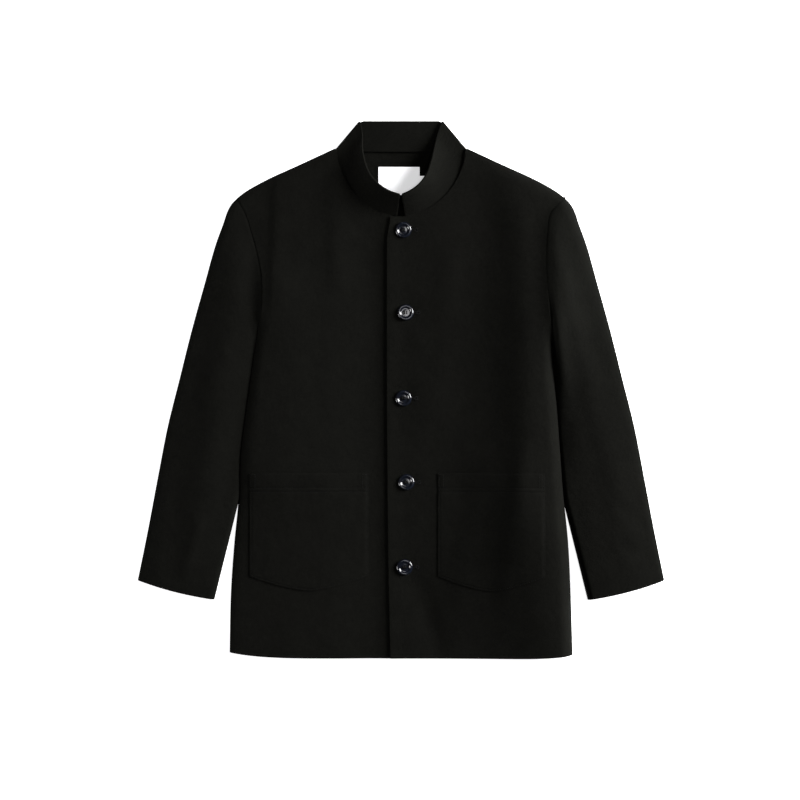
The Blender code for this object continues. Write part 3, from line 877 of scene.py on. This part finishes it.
def make_sleeve_top(side, finish):
    """Upper half of a sleeve."""
    columns = crowded(SLEEVE_COLUMNS, CUFF_OUTER.x - CUFF_INNER.x)
    rows = crowded(SLEEVE_ROWS, TIP_Y - CUFF_OUTER.y)
    plan = sleeve_plan(side, columns, rows)
    points = with_height(plan, sleeve_height(side, plan, columns, rows))
    points = tuck_last_row(points, side)
    outer = np.ones(len(points))
    inner = ease(PIT_Y, PIT_Y - PIT_FADE[side], points[:, -1, 1])
    points = turn_first_column(points, outer)
    points = turn_first_column(points[:, ::-1], inner, points[:, -1] + [SIDES[side], 0, 0])
    node = f"sleeve_{side}_top"
    piece = cloth_shell(node, points, cut_coordinates(points, sleeve_lean(side)), CLOTH, -1, finish)


def make_sleeve_under(side, finish):
    """Lower half of a sleeve, flat on the surface."""
    columns = even(UNDER_COLUMNS)
    rows = even(UNDER_ROWS)
    plan = sleeve_plan(side, columns, rows, UNDER_SLEEVE_INSET)
    plan = plan + [0, SEAM]
    tip_drop = ease(0, 1, rows)[:, None] * (1 - columns[None, :]) * UNDER_SLEEVE_INSET
    plan[..., 1] = plan[..., 1] - tip_drop
    points = with_height(plan, np.full(plan.shape[:2], CLOTH))
    node = f"sleeve_{side}_under"
    piece = cloth_shell(node, points, cut_coordinates(points, sleeve_lean(side)), CLOTH, -1, finish)


def back_half(side, columns, rows):
    """Plan of one half of the back, from the side to the middle."""
    sign = SIDES[side]
    outer = front_outer(side, rows) - [sign * BACK_INSET, 0]
    outer[:, 1] = np.minimum(outer[:, 1], TIP_Y - BACK_INSET)
    neck = Point(NECKLINE[0].x - BACK_INSET, BACK_NECK_Y - BACK_INSET / 2)
    down = BACK_INSET / math.cos(SHOULDER_SLOPE)
    along_top = [(abs(outer[-1, 0]), outer[-1, 1])]
    along_top += [(point.x, point.y - down) for point in SHOULDER[2:-1]]
    neck_y = BACK_NECK_Y + BACK_NECK_TUCK
    along_top += [neck, Point(neck.x / 2, neck_y), Point(0, neck_y)]
    along_top = np.array(along_top)
    run = np.concatenate([[0], np.cumsum(np.linalg.norm(np.diff(along_top, axis=0), axis=1))])
    wanted = np.asarray(columns) * run[-1]
    top = np.column_stack([np.interp(wanted, run, part) for part in along_top.T]) * [sign, 1]
    hem_x = outer[0, 0] * (1 - np.asarray(columns))
    bottom = np.column_stack([hem_x, hem_y(hem_x) + SEAM])
    inner = np.column_stack([np.zeros(len(rows)), HEM_LOW + SEAM + rows * (neck_y - HEM_LOW - SEAM)])
    outer[0] = bottom[0]
    return patch(bottom, top, outer, inner, columns, rows)


def make_back(finish):
    """Back panel, flat on the surface, with a few shallow folds that lift off it."""
    columns, rows = even(BACK_COLUMNS), even(BACK_ROWS)
    right = back_half("right", columns, rows)
    left = back_half("left", columns, rows)[:, ::-1]
    plan = np.hstack([right, left[:, 1:]])
    points = with_height(plan, CLOTH + folds("back", plan[..., 0], plan[..., 1]))
    piece = cloth_shell("back", points, cut_coordinates(points, 0), CLOTH, -1, finish)


def collar_front(side):
    """Seam and upper edge of the collar's front half, from the front end to the fold."""
    sign = SIDES[side]
    shares = even(COLLAR_NECK_STATIONS)
    neckline = smooth_curve(NECKLINE[::-1], shares)
    run = np.gradient(neckline, axis=0)
    inwards = np.column_stack([-run[:, 1], run[:, 0]]) / np.linalg.norm(run, axis=1)[:, None]
    seam = (neckline + inwards * COLLAR_SEAM_INSET) * [sign, 1]
    fold_seam = np.array([sign * COLLAR_FOLD_SEAM.x, COLLAR_FOLD_SEAM.y])
    seam = seam + ease(1 - NECK_SHARE, 1, shares)[:, None] * (fold_seam - seam[-1])
    fold_height = COLLAR_TOP[-1].height
    seam_height = front_height(side, neckline[:, 0] * sign, neckline[:, 1]) - CLOTH - COLLAR_SEAM_DROP
    settle = ease(NECK_SHARE, 1, shares)
    seam_height = np.maximum(seam_height * (1 - settle) + fold_height * settle, fold_height)
    top = [(getattr(row, side + "_x"), getattr(row, side + "_y"), row.height) for row in COLLAR_TOP]
    top[-1] = (sign * COLLAR_FOLD_TOP.x, COLLAR_FOLD_TOP.y, fold_height)
    return np.column_stack([seam, seam_height, smooth_curve(top, shares)])


def collar_fold(side):
    """The turn beside the neck, from the front half over to the back half."""
    seam = np.array([SIDES[side] * COLLAR_FOLD_SEAM.x, COLLAR_FOLD_SEAM.y])
    top = np.array([SIDES[side] * COLLAR_FOLD_TOP.x, COLLAR_FOLD_TOP.y])
    run = (top - seam) / np.linalg.norm(top - seam)
    outwards = np.array([run[1], -run[0]]) * SIDES[side]
    upper = COLLAR_TOP[-1].height
    lower = COLLAR_CLOTH / 2
    radius = (upper - lower) / 2
    rows = []
    for turn in np.linspace(0, math.pi, COLLAR_FOLD_STEPS + 1)[1:]:
        shift = outwards * radius * math.sin(turn)
        height = lower + radius * (1 + math.cos(turn))
        rows.append((*(seam + shift), height, *(top + shift), height))
    return np.array(rows)


def collar_back():
    """The half behind the neck, lying with its inner face up."""
    height = COLLAR_CLOTH / 2
    rows = []
    for share in np.linspace(-1, 1, COLLAR_BACK_STATIONS + 3)[1:-1]:
        seam_y = BACK_NECK_Y + SEAM + (COLLAR_FOLD_SEAM.y - BACK_NECK_Y) * share**2
        lift = COLLAR_BACK_LIFT * (1 - share**2)
        seam = (share * COLLAR_FOLD_SEAM.x, seam_y, height + lift)
        top = (share * COLLAR_FOLD_TOP.x, COLLAR_TOP_Y, height)
        rows.append(seam + top)
    return np.array(rows)


def make_collar(finish):
    """One stand collar band from one front end round the back to the other."""
    halves = [
        collar_front("right"),
        collar_fold("right"),
        collar_back(),
        collar_fold("left")[::-1],
        collar_front("left")[::-1],
    ]
    stations = np.vstack(halves)
    across = crowded(COLLAR_ACROSS, COLLAR_TOP_Y - BACK_NECK_Y)[None, :, None]
    seam, top = stations[:, None, :3], stations[:, None, 3:]
    points = seam + across * (top - seam)
    along = np.gradient(points.mean(axis=1), axis=0)
    out = np.cross(along, stations[:, 3:] - stations[:, :3])
    out = out / np.linalg.norm(out, axis=1)[:, None]
    standing = ease(COLLAR_CLOTH, COLLAR_TOP[4].height, stations[:, 5])
    bow = COLLAR_BOW * np.sin(across * np.pi) * standing[:, None, None]
    points = points + bow * out[:, None, :]
    piece = cloth_shell("collar", points, band_coordinates(points), COLLAR_CLOTH, 0, finish)


def pocket_low(side, x):
    """Lower edge of a pocket: two slopes that meet in a soft point."""
    pocket = POCKETS[side]
    share = (x - pocket.inner) / (pocket.outer - pocket.inner)
    return pocket.lowest + (pocket.corner - pocket.lowest) * np.abs(2 * share - 1) ** POCKET_POINT


def pocket_height(side, x, y):
    """Upper face of a pocket, laid on the front, pulled in along its stitching."""
    pocket = POCKETS[side]
    to_side = np.minimum(np.abs(x - pocket.inner), np.abs(x - pocket.outer))
    to_low = np.abs(y - pocket_low(side, x))
    to_sewn = np.minimum(to_side, to_low)
    to_edge = np.minimum(to_sewn, np.abs(pocket.top - y))
    sink = POCKET_EDGE_SINK * (1 - round_turn(to_edge / POCKET_EDGE_REACH))
    groove = STITCH_SINK * bump_at(to_sewn - STITCH_INSET, STITCH_SINK_REACH)
    for line in POCKET_HEM_LINES:
        groove = groove + STITCH_SINK * bump_at(pocket.top - line - y, STITCH_SINK_REACH)
    small = ripples(x * POCKET_PUCKER_PITCH, y * POCKET_PUCKER_PITCH)
    pucker = POCKET_PUCKER * small * soft_rise(to_edge / (2 * STITCH_INSET))
    return front_height(side, x, y) + POCKET_GAP + POCKET_CLOTH - sink - groove + np.maximum(pucker, 0)


def make_pocket(side, finish):
    """Patch pocket on a front."""
    pocket = POCKETS[side]
    columns = crowded(POCKET_COLUMNS, abs(pocket.outer - pocket.inner))
    rows = crowded(POCKET_ROWS, pocket.top - pocket.lowest)
    across = pocket.inner + columns * (pocket.outer - pocket.inner)
    low = pocket_low(side, across)[None, :]
    hem = pocket.top - np.array((0,) + POCKET_HEM_STEPS)[::-1, None]
    below = low + rows[:-len(CROWDED) - 1, None] * (hem[0] - low)
    y = np.vstack([below, np.broadcast_to(hem, (len(hem), len(columns)))])
    x = np.broadcast_to(across, y.shape)
    points = np.dstack([x, y, pocket_height(side, x, y)])
    piece = cloth_shell("pocket_" + side, points, cut_coordinates(points, 0), POCKET_CLOTH, -1, finish)


def surface_frame(height, x, y):
    """Point on a surface and its upward normal."""
    slope_x = (height(x + SLOPE_STEP, y) - height(x - SLOPE_STEP, y)) / (2 * SLOPE_STEP)
    slope_y = (height(x, y + SLOPE_STEP) - height(x, y - SLOPE_STEP)) / (2 * SLOPE_STEP)
    normal = np.column_stack([-slope_x, -slope_y, np.ones_like(slope_x)])
    normal = normal / np.linalg.norm(normal, axis=1)[:, None]
    return np.column_stack([x, y, height(x, y)]), normal


def along_path(path, pitch):
    """Points at a steady pitch along a path, and the path's direction at each."""
    path = np.asarray(path, float)
    run = np.concatenate([[0], np.cumsum(np.linalg.norm(np.diff(path, axis=0), axis=1))])
    count = max(2, int(run[-1] / pitch))
    wanted = (np.arange(count) + 0.5) / count * run[-1]
    places = np.column_stack([np.interp(wanted, run, part) for part in path.T])
    ahead = np.column_stack([np.interp(wanted + pitch / 4, run, part) for part in path.T])
    behind = np.column_stack([np.interp(wanted - pitch / 4, run, part) for part in path.T])
    direction = ahead - behind
    return places, direction / np.linalg.norm(direction, axis=1)[:, None]


def thread_mesh(name, middles, directions, normals, length, radius):
    """Joined mesh of short thread stitches, each a capsule that dips into the cloth at its ends."""
    directions = directions / np.linalg.norm(directions, axis=1)[:, None]
    sideways = np.cross(normals, directions)
    turns = np.arange(STITCH_SIDES) * 2 * np.pi / STITCH_SIDES
    verts = []
    for ring in STITCH_RINGS:
        for turn in turns:
            spot = middles + directions * ring.along * length
            spot = spot + normals * radius * (ring.girth * math.sin(turn) + ring.lift)
            spot = spot + sideways * radius * ring.girth * math.cos(turn)
            verts.append(spot)
    verts = np.stack(verts, axis=1)
    faces = []
    for step in range(len(STITCH_RINGS) - 1):
        for side in range(STITCH_SIDES):
            after = (side + 1) % STITCH_SIDES
            low, high = step * STITCH_SIDES, (step + 1) * STITCH_SIDES
            faces.append((low + side, low + after, high + after, high + side))
    starts = np.arange(len(middles)) * verts.shape[1]
    all_faces = (starts[:, None, None] + np.array(faces)[None]).reshape(-1, 4)
    mesh = bpy.data.meshes.new(name)
    mesh.from_pydata((verts.reshape(-1, 3) * MM).tolist(), [], all_faces.tolist())
    mesh.shade_smooth()
    return mesh


def pocket_stitch_paths(side):
    """Lines of stitching on a pocket: its edge, the two lines of its hem and the corner tacks."""
    pocket = POCKETS[side]
    inwards = np.sign(pocket.outer - pocket.inner)
    first = pocket.inner + inwards * STITCH_INSET
    last = pocket.outer - inwards * STITCH_INSET
    across = np.linspace(first, last, EDGE_SAMPLES)
    bottom = np.column_stack([across, pocket_low(side, across) + STITCH_INSET])
    start_y = pocket.top - STITCH_INSET / 2
    edge = np.vstack([[(first, start_y)], bottom, [(last, start_y)]])
    paths = [edge]
    for line in POCKET_HEM_LINES:
        paths.append([(first, pocket.top - line), (last, pocket.top - line)])
    for corner, inside in ((first, inwards), (last, -inwards)):
        inner = corner + inside * CORNER_TACK_WIDTH
        upper = pocket.top - STITCH_INSET
        paths.append([(corner, upper), (inner, upper), (inner, pocket.top - POCKET_HEM_LINES[0])])
    return paths


def make_pocket_stitching(side, finish):
    """Thread along the pocket's edge and hem."""
    middles, directions = [], []
    for path in pocket_stitch_paths(side):
        places, ways = along_path(path, STITCH_PITCH)
        middles.append(places)
        directions.append(ways)
    places = np.vstack(middles)
    spots, normals = surface_frame(lambda x, y: pocket_height(side, x, y), places[:, 0], places[:, 1])
    ways = np.column_stack([np.vstack(directions), np.zeros(len(places))])
    mesh = thread_mesh(f"pocket_{side}_stitching", spots, ways, normals, STITCH_LENGTH, STITCH_RADIUS)
    add_piece(f"pocket_{side}_stitching", mesh, finish)


def make_buttonhole(number, middle, finish):
    """Keyhole buttonhole: close stitches across the slit and round its eye, worked in thread."""
    start = middle.x - BUTTONHOLE_BACK
    end = middle.x + BUTTONHOLE_REACH
    places, ways = [], []
    for across in (-1, 1):
        y = middle.y + across * BUTTONHOLE_STITCH / 2
        spots, _ = along_path([(start, y), (end, y)], BUTTONHOLE_PITCH)
        places.append(spots)
        ways.append(np.tile([BUTTONHOLE_SLANT, 1.0, 0], (len(spots), 1)))
    eye_turns = np.arange(0, 2 * np.pi, BUTTONHOLE_PITCH / BUTTONHOLE_EYE)
    eye = np.column_stack([np.cos(eye_turns), np.sin(eye_turns)])
    places.append(eye * BUTTONHOLE_EYE + [end, middle.y])
    ways.append(np.column_stack([eye, np.zeros(len(eye))]))
    places = np.vstack(places)
    spots, normals = surface_frame(lap_height, places[:, 0], places[:, 1])
    name = f"buttonhole_{number}"
    mesh = thread_mesh(name, spots, np.vstack(ways), normals, BUTTONHOLE_STITCH, STITCH_RADIUS)
    add_piece(name, mesh, finish)


def button_body():
    """Turned button with four thread holes."""
    turned = bmesh.new()
    profile = [turned.verts.new((turn.radius * MM, 0, turn.height * MM)) for turn in BUTTON_PROFILE]
    edges = [turned.edges.new(pair) for pair in zip(profile, profile[1:])]
    bmesh.ops.spin(
        turned,
        geom=profile + edges,
        cent=(0, 0, 0),
        axis=(0, 0, 1),
        angle=2 * math.pi,
        steps=BUTTON_SEGMENTS,
    )
    bmesh.ops.remove_doubles(turned, verts=turned.verts, dist=BUTTON_WELD * MM)
    bmesh.ops.recalc_face_normals(turned, faces=turned.faces)
    body = bpy.data.meshes.new("button_body")
    turned.to_mesh(body)
    turned.free()
    drill = bmesh.new()
    for quarter in range(HOLE_COUNT):
        angle = (quarter + 0.5) * 2 * math.pi / HOLE_COUNT
        made = bmesh.ops.create_cone(
            drill,
            cap_ends=True,
            segments=HOLE_SIDES,
            radius1=HOLE_RADIUS * MM,
            radius2=HOLE_RADIUS * MM,
            depth=HOLE_DEPTH * MM,
        )
        shift = (math.cos(angle) * HOLE_SPREAD * MM, math.sin(angle) * HOLE_SPREAD * MM, 0)
        bmesh.ops.translate(drill, verts=made["verts"], vec=shift)
    holes = bpy.data.meshes.new("button_holes")
    drill.to_mesh(holes)
    drill.free()
    return drilled(body, holes)


def drilled(body, holes):
    """The body's mesh with the holes cut out of it."""
    solid = bpy.data.objects.new("button_blank", body)
    cutter = bpy.data.objects.new("button_drill", holes)
    for item in (solid, cutter):
        bpy.context.scene.collection.objects.link(item)
    cut = solid.modifiers.new("holes", "BOOLEAN")
    cut.operation = "DIFFERENCE"
    cut.object = cutter
    depsgraph = bpy.context.evaluated_depsgraph_get()
    mesh = bpy.data.meshes.new_from_object(solid.evaluated_get(depsgraph))
    for item in (solid, cutter):
        bpy.data.objects.remove(item)
    mesh.shade_smooth()
    mesh.set_sharp_from_angle(angle=math.radians(BUTTON_SHARP))
    return mesh


def button_thread(number):
    """Two bars of thread between the holes of a button."""
    top = BUTTON_PROFILE[0].height
    hole = HOLE_SPREAD * math.sqrt(0.5)
    middles, ways = [], []
    for strand in THREAD_STRANDS:
        for row in (-1, 1):
            middles.append((row * hole + strand * THREAD_RADIUS, 0, top + THREAD_RADIUS))
            ways.append((strand * THREAD_SLANT, 1, 0))
    normals = np.tile([0.0, 0.0, 1.0], (len(middles), 1))
    length = 2 * hole + HOLE_RADIUS
    name = f"button_{number}_thread"
    return thread_mesh(name, np.array(middles), np.array(ways), normals, length, THREAD_RADIUS)


def make_buttons(resin, thread):
    """Five buttons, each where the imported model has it, with its lean and its thread."""
    body = button_body()
    for number, (middle, lean) in enumerate(zip(BUTTON_MIDDLES, BUTTON_LEANS), start=1):
        node = f"button_{number}"
        low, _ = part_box(node)
        button = bpy.data.objects.new(node + "_resin", body)
        if not body.materials:
            body.materials.append(resin)
        sewn = bpy.data.objects.new(node + "_thread", button_thread(number))
        sewn.data.materials.append(thread)
        for item in (button, sewn):
            bpy.context.scene.collection.objects.link(item)
            item.location = (middle.x * MM, middle.y * MM, low.z)
            item.rotation_euler = (math.radians(lean[0]), math.radians(lean[1]), 0)
            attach(item, BODY)
        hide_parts(node)


def make_label(node, finish, tuck=0.0):
    """Bare woven label, slightly wavy, inside the back neck; its left side may run on under another one."""
    low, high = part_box(node)
    low, high = low / MM, high / MM
    low.x = low.x - tuck
    shares = crowded(LABEL_STEPS, high.x - low.x)
    x = low.x + shares * (high.x - low.x)
    y = low.y + shares * (high.y - low.y)
    x, y = np.meshgrid(x, y)
    wave = LABEL_WAVE * (1 + np.sin(x / LABEL_WAVE_ACROSS) * np.sin(y / LABEL_WAVE_ALONG))
    points = np.dstack([x, y, high.z + wave])
    piece = cloth_shell(node, points, cut_coordinates(points, 0), high.z - low.z, -1, finish)


def add_node(tree, kind, **settings):
    """Adds a shader node. A setting whose name starts with in_ goes to the input of that name."""
    node = tree.nodes.new(kind)
    for name, value in settings.items():
        if name.startswith("in_"):
            node.inputs[name[3:].replace("_", " ")].default_value = value
        else:
            setattr(node, name, value)
    return node


def math_node(tree, operation, first, second):
    """Maths on two sockets or numbers."""
    node = tree.nodes.new("ShaderNodeMath")
    node.operation = operation
    for socket, value in zip(node.inputs, (first, second)):
        if isinstance(value, (int, float)):
            socket.default_value = value
        else:
            tree.links.new(value, socket)
    return node.outputs[0]


def group_tree(name, inputs, outputs):
    """New shader node group with named sockets."""
    tree = bpy.data.node_groups.new(name, "ShaderNodeTree")
    for socket, kind in inputs:
        tree.interface.new_socket(name=socket, in_out="INPUT", socket_type=kind)
    for socket, kind in outputs:
        tree.interface.new_socket(name=socket, in_out="OUTPUT", socket_type=kind)
    return tree, tree.nodes.new("NodeGroupInput"), tree.nodes.new("NodeGroupOutput")


def grain_node(tree, grain):
    """Adds a noise of one grain."""
    settings = {"in_Scale": grain.scale, "in_Detail": grain.detail, "in_Roughness": grain.roughness}
    return add_node(tree, "ShaderNodeTexNoise", **settings)


def shared_sum(tree, first, second, shares):
    """Sum of two sockets, each with its share."""
    part = math_node(tree, "MULTIPLY", first, shares[0])
    return math_node(tree, "ADD", part, math_node(tree, "MULTIPLY", second, shares[1]))


def twill_group():
    """Diagonal twill of fine yarns: its height, and the same height again as a mask for painted shade that is
    darker in the low parts between the raised yarns.
    """
    tree, given, made = group_tree(
        "twill", (("Cloth", VECTOR), ("Pitch", FLOAT)), (("Height", FLOAT), ("Painted_weave_shade", FLOAT))
    )
    wander = grain_node(tree, YARN_WANDER)
    tree.links.new(given.outputs["Cloth"], wander.inputs["Vector"])
    parts = add_node(tree, "ShaderNodeSeparateXYZ")
    tree.links.new(given.outputs["Cloth"], parts.inputs[0])
    slant = math_node(tree, "MULTIPLY", parts.outputs["Y"], TWILL_SLANT)
    diagonal = math_node(tree, "ADD", parts.outputs["X"], slant)
    turns = math_node(tree, "DIVIDE", diagonal, given.outputs["Pitch"])
    turns = math_node(tree, "ADD", turns, math_node(tree, "MULTIPLY", wander.outputs["Fac"], TWILL_WANDER))
    ribs = math_node(tree, "SINE", math_node(tree, "MULTIPLY", turns, 2 * math.pi), 0.0)
    picks = math_node(tree, "DIVIDE", parts.outputs["Y"], given.outputs["Pitch"])
    yarns = math_node(tree, "SINE", math_node(tree, "MULTIPLY", picks, 4 * math.pi), 0.0)
    height = math_node(tree, "ADD", ribs, math_node(tree, "MULTIPLY", yarns, TWILL_PICKS))
    height = math_node(tree, "ADD", math_node(tree, "MULTIPLY", height, TWILL_HEIGHT), 0.5)
    tree.links.new(height, made.inputs["Height"])
    tree.links.new(height, made.inputs["Painted_weave_shade"])
    return tree


def nap_group():
    """Short wool nap: matted fibres as height, and slow mottling of the dye."""
    tree, given, made = group_tree("nap", (("Cloth", VECTOR),), NAP_OUTPUTS)
    fibres = grain_node(tree, FIBRES)
    clumps = grain_node(tree, CLUMPS)
    dye = grain_node(tree, DYE)
    felting = grain_node(tree, FELTING)
    for texture in (fibres, clumps, felting, dye):
        tree.links.new(given.outputs["Cloth"], texture.inputs["Vector"])
    height = shared_sum(tree, fibres.outputs["Fac"], clumps.outputs["Fac"], NAP_SHARES)
    mottle = shared_sum(tree, clumps.outputs["Fac"], dye.outputs["Fac"], MOTTLE_SHARES)
    tree.links.new(felting.outputs["Fac"], made.inputs["Felting"])
    tree.links.new(height, made.inputs["Height"])
    tree.links.new(mottle, made.inputs["Mottle"])
    return tree


def start_material(name):
    """New material, its tree and its Principled shader."""
    finish = bpy.data.materials.new(name)
    finish.use_nodes = True
    return finish, finish.node_tree, finish.node_tree.nodes["Principled BSDF"]


def place_group(tree, group, **values):
    """Places a node group and sets its numbers."""
    node = tree.nodes.new("ShaderNodeGroup")
    node.node_tree = group
    for name, value in values.items():
        node.inputs[name].default_value = value
    return node


def colour_mix(tree, mask, dark, light, span):
    """Colour between dark and light by a mask that runs over the span."""
    ramp = tree.nodes.new("ShaderNodeValToRGB")
    ramp.color_ramp.elements[0].position = span.low
    ramp.color_ramp.elements[0].color = (*dark, 1)
    ramp.color_ramp.elements[1].position = span.high
    ramp.color_ramp.elements[1].color = (*light, 1)
    tree.links.new(mask, ramp.inputs["Fac"])
    return ramp.outputs["Color"]


def rough_by(tree, mask, span, shader):
    """Roughness that follows a mask over the span."""
    rough = add_node(tree, "ShaderNodeMapRange", in_To_Min=span.low, in_To_Max=span.high)
    tree.links.new(mask, rough.inputs["Value"])
    tree.links.new(rough.outputs["Result"], shader.inputs["Roughness"])


def bump(tree, height, relief, before=None):
    """Bump from a height, on top of another normal."""
    settings = {"in_Strength": relief.strength, "in_Distance": relief.distance * MM}
    node = add_node(tree, "ShaderNodeBump", **settings)
    tree.links.new(height, node.inputs["Height"])
    if before is not None:
        tree.links.new(before, node.inputs["Normal"])
    return node.outputs["Normal"]


def wool_finish(twill, nap):
    """Matte black wool twill with a short nap."""
    finish, tree, shader = start_material("black_wool")
    cut = add_node(tree, "ShaderNodeUVMap", uv_map="cut")
    weave = place_group(tree, twill, Pitch=WOOL_PITCH * MM)
    fuzz = place_group(tree, nap)
    for node in (weave, fuzz):
        tree.links.new(cut.outputs["UV"], node.inputs["Cloth"])
    # Painted shade in the weave's low parts, mixed with the random mottle of the dye.
    shade = shared_sum(tree, weave.outputs["Painted_weave_shade"], fuzz.outputs["Mottle"], WOOL_WEAVE_SHADE_AND_MOTTLE_SHARES)
    tree.links.new(colour_mix(tree, shade, WOOL_DARK, WOOL_LIGHT, WOOL_SPAN), shader.inputs["Base Color"])
    rough_by(tree, fuzz.outputs["Mottle"], WOOL_ROUGH, shader)
    normal = bump(tree, weave.outputs["Height"], TWILL_RELIEF)
    normal = bump(tree, fuzz.outputs["Height"], NAP_RELIEF, normal)
    normal = bump(tree, fuzz.outputs["Felting"], FELTING_RELIEF, normal)
    tree.links.new(normal, shader.inputs["Normal"])
    shader.inputs["Specular IOR Level"].default_value = WOOL_SHINE
    shader.inputs["Sheen Weight"].default_value = WOOL_SHEEN
    shader.inputs["Sheen Roughness"].default_value = WOOL_SHEEN_ROUGH
    return finish


def thread_finish(nap):
    """Black sewing thread, a little smoother than the cloth."""
    finish, tree, shader = start_material("black_thread")
    place = add_node(tree, "ShaderNodeTexCoord")
    fuzz = place_group(tree, nap)
    tree.links.new(place.outputs["Object"], fuzz.inputs["Cloth"])
    colour = colour_mix(tree, fuzz.outputs["Mottle"], THREAD_DARK, THREAD_LIGHT, THREAD_SPAN)
    tree.links.new(colour, shader.inputs["Base Color"])
    tree.links.new(bump(tree, fuzz.outputs["Height"], THREAD_RELIEF), shader.inputs["Normal"])
    shader.inputs["Roughness"].default_value = THREAD_ROUGH
    shader.inputs["Specular IOR Level"].default_value = THREAD_SHINE
    return finish


def resin_finish():
    """Polished black resin with a bluish cast and faint clouds."""
    finish, tree, shader = start_material("black_resin")
    place = add_node(tree, "ShaderNodeTexCoord")
    clouds = grain_node(tree, RESIN_CLOUDS)
    tree.links.new(place.outputs["Object"], clouds.inputs["Vector"])
    colour = colour_mix(tree, clouds.outputs["Fac"], RESIN_DARK, RESIN_LIGHT, RESIN_SPAN)
    tree.links.new(colour, shader.inputs["Base Color"])
    rough_by(tree, clouds.outputs["Fac"], RESIN_ROUGH, shader)
    shader.inputs["IOR"].default_value = RESIN_IOR
    shader.inputs["Specular IOR Level"].default_value = RESIN_SHINE
    return finish


def tape_finish(twill):
    """White woven tape of the bare label. It glows a little, which is painted light that keeps it white in
    the shadow of the collar, and the low parts of its weave carry painted shade.
    """
    finish, tree, shader = start_material("white_tape")
    cut = add_node(tree, "ShaderNodeUVMap", uv_map="cut")
    weave = place_group(tree, twill, Pitch=TAPE_PITCH * MM)
    tree.links.new(cut.outputs["UV"], weave.inputs["Cloth"])
    colour = colour_mix(tree, weave.outputs["Painted_weave_shade"], TAPE_SHADE, TAPE_WHITE, TAPE_SPAN)
    tree.links.new(colour, shader.inputs["Base Color"])
    tree.links.new(bump(tree, weave.outputs["Height"], TAPE_RELIEF), shader.inputs["Normal"])
    shader.inputs["Roughness"].default_value = TAPE_ROUGH
    shader.inputs["Sheen Weight"].default_value = TAPE_SHEEN
    # Painted light: a white glow that keeps the label white in the shadow of the collar.
    shader.inputs["Emission Color"].default_value = (*TAPE_WHITE, 1)
    shader.inputs["Emission Strength"].default_value = TAPE_PAINTED_GLOW
    return finish


def make_floor():
    """Plain pale floor under the jacket."""
    half = FLOOR_SIZE / 2
    mesh = bpy.data.meshes.new("floor")
    corners = [(-half, -half, 0), (half, -half, 0), (half, half, 0), (-half, half, 0)]
    mesh.from_pydata(corners, [], [(0, 1, 2, 3)])
    floor = bpy.data.objects.new("floor", mesh)
    floor.location.z = -FLOOR_DROP * MM
    bpy.context.scene.collection.objects.link(floor)
    finish, _, shader = start_material("pale_floor")
    shader.inputs["Base Color"].default_value = (*FLOOR_WHITE, 1)
    shader.inputs["Emission Color"].default_value = (1, 1, 1, 1)
    shader.inputs["Emission Strength"].default_value = FLOOR_GLOW
    shader.inputs["Roughness"].default_value = FLOOR_ROUGH
    shader.inputs["Specular IOR Level"].default_value = FLOOR_SHINE
    mesh.materials.append(finish)


def make_lights():
    """Soft studio light, mostly from the viewer's right."""
    for lamp in LAMPS:
        data = bpy.data.lights.new(lamp.name, "AREA")
        data.shape = "DISK"
        data.size = lamp.size
        data.energy = lamp.power
        light = bpy.data.objects.new(lamp.name, data)
        light.location = (lamp.x, lamp.y, lamp.z)
        light.rotation_euler = (-light.location).to_track_quat("-Z", "Y").to_euler()
        bpy.context.scene.collection.objects.link(light)
    world = bpy.data.worlds.new("pale_room")
    world.use_nodes = True
    world.node_tree.nodes["Background"].inputs["Strength"].default_value = WORLD_STRENGTH
    world.node_tree.nodes["Background"].inputs["Color"].default_value = (1, 1, 1, 1)
    bpy.context.scene.world = world
    bpy.context.scene.view_settings.view_transform = "Standard"


def make_camera():
    """Camera straight above, framed as the photo is."""
    data = bpy.data.cameras.new("camera")
    view_width = PHOTO_SIZE * PHOTO_MM_PER_PIXEL * MM
    data.sensor_width = CAMERA_SENSOR
    data.lens = CAMERA_SENSOR * CAMERA_DISTANCE / view_width
    camera = bpy.data.objects.new("camera", data)
    camera.location = (PHOTO_MIDDLE.x * MM, PHOTO_MIDDLE.y * MM, CAMERA_DISTANCE + CAMERA_PLANE * MM)
    bpy.context.scene.collection.objects.link(camera)
    bpy.context.scene.camera = camera


def main():
    """Builds the whole scene."""
    make_camera()
    make_lights()
    make_floor()
    twill, nap = twill_group(), nap_group()
    wool = wool_finish(twill, nap)
    thread = thread_finish(nap)
    tape = tape_finish(twill)
    make_back(wool)
    for side in SIDES:
        make_front(side, wool)
        make_sleeve_top(side, wool)
        make_sleeve_under(side, wool)
        make_pocket(side, wool)
        make_pocket_stitching(side, thread)
    make_collar(wool)
    for number, middle in enumerate(BUTTON_MIDDLES, start=1):
        make_buttonhole(number, middle, thread)
    make_buttons(resin_finish(), thread)
    make_label("neck_label", tape)
    make_label("size_tab", tape, SIZE_TAB_TUCK)


main()
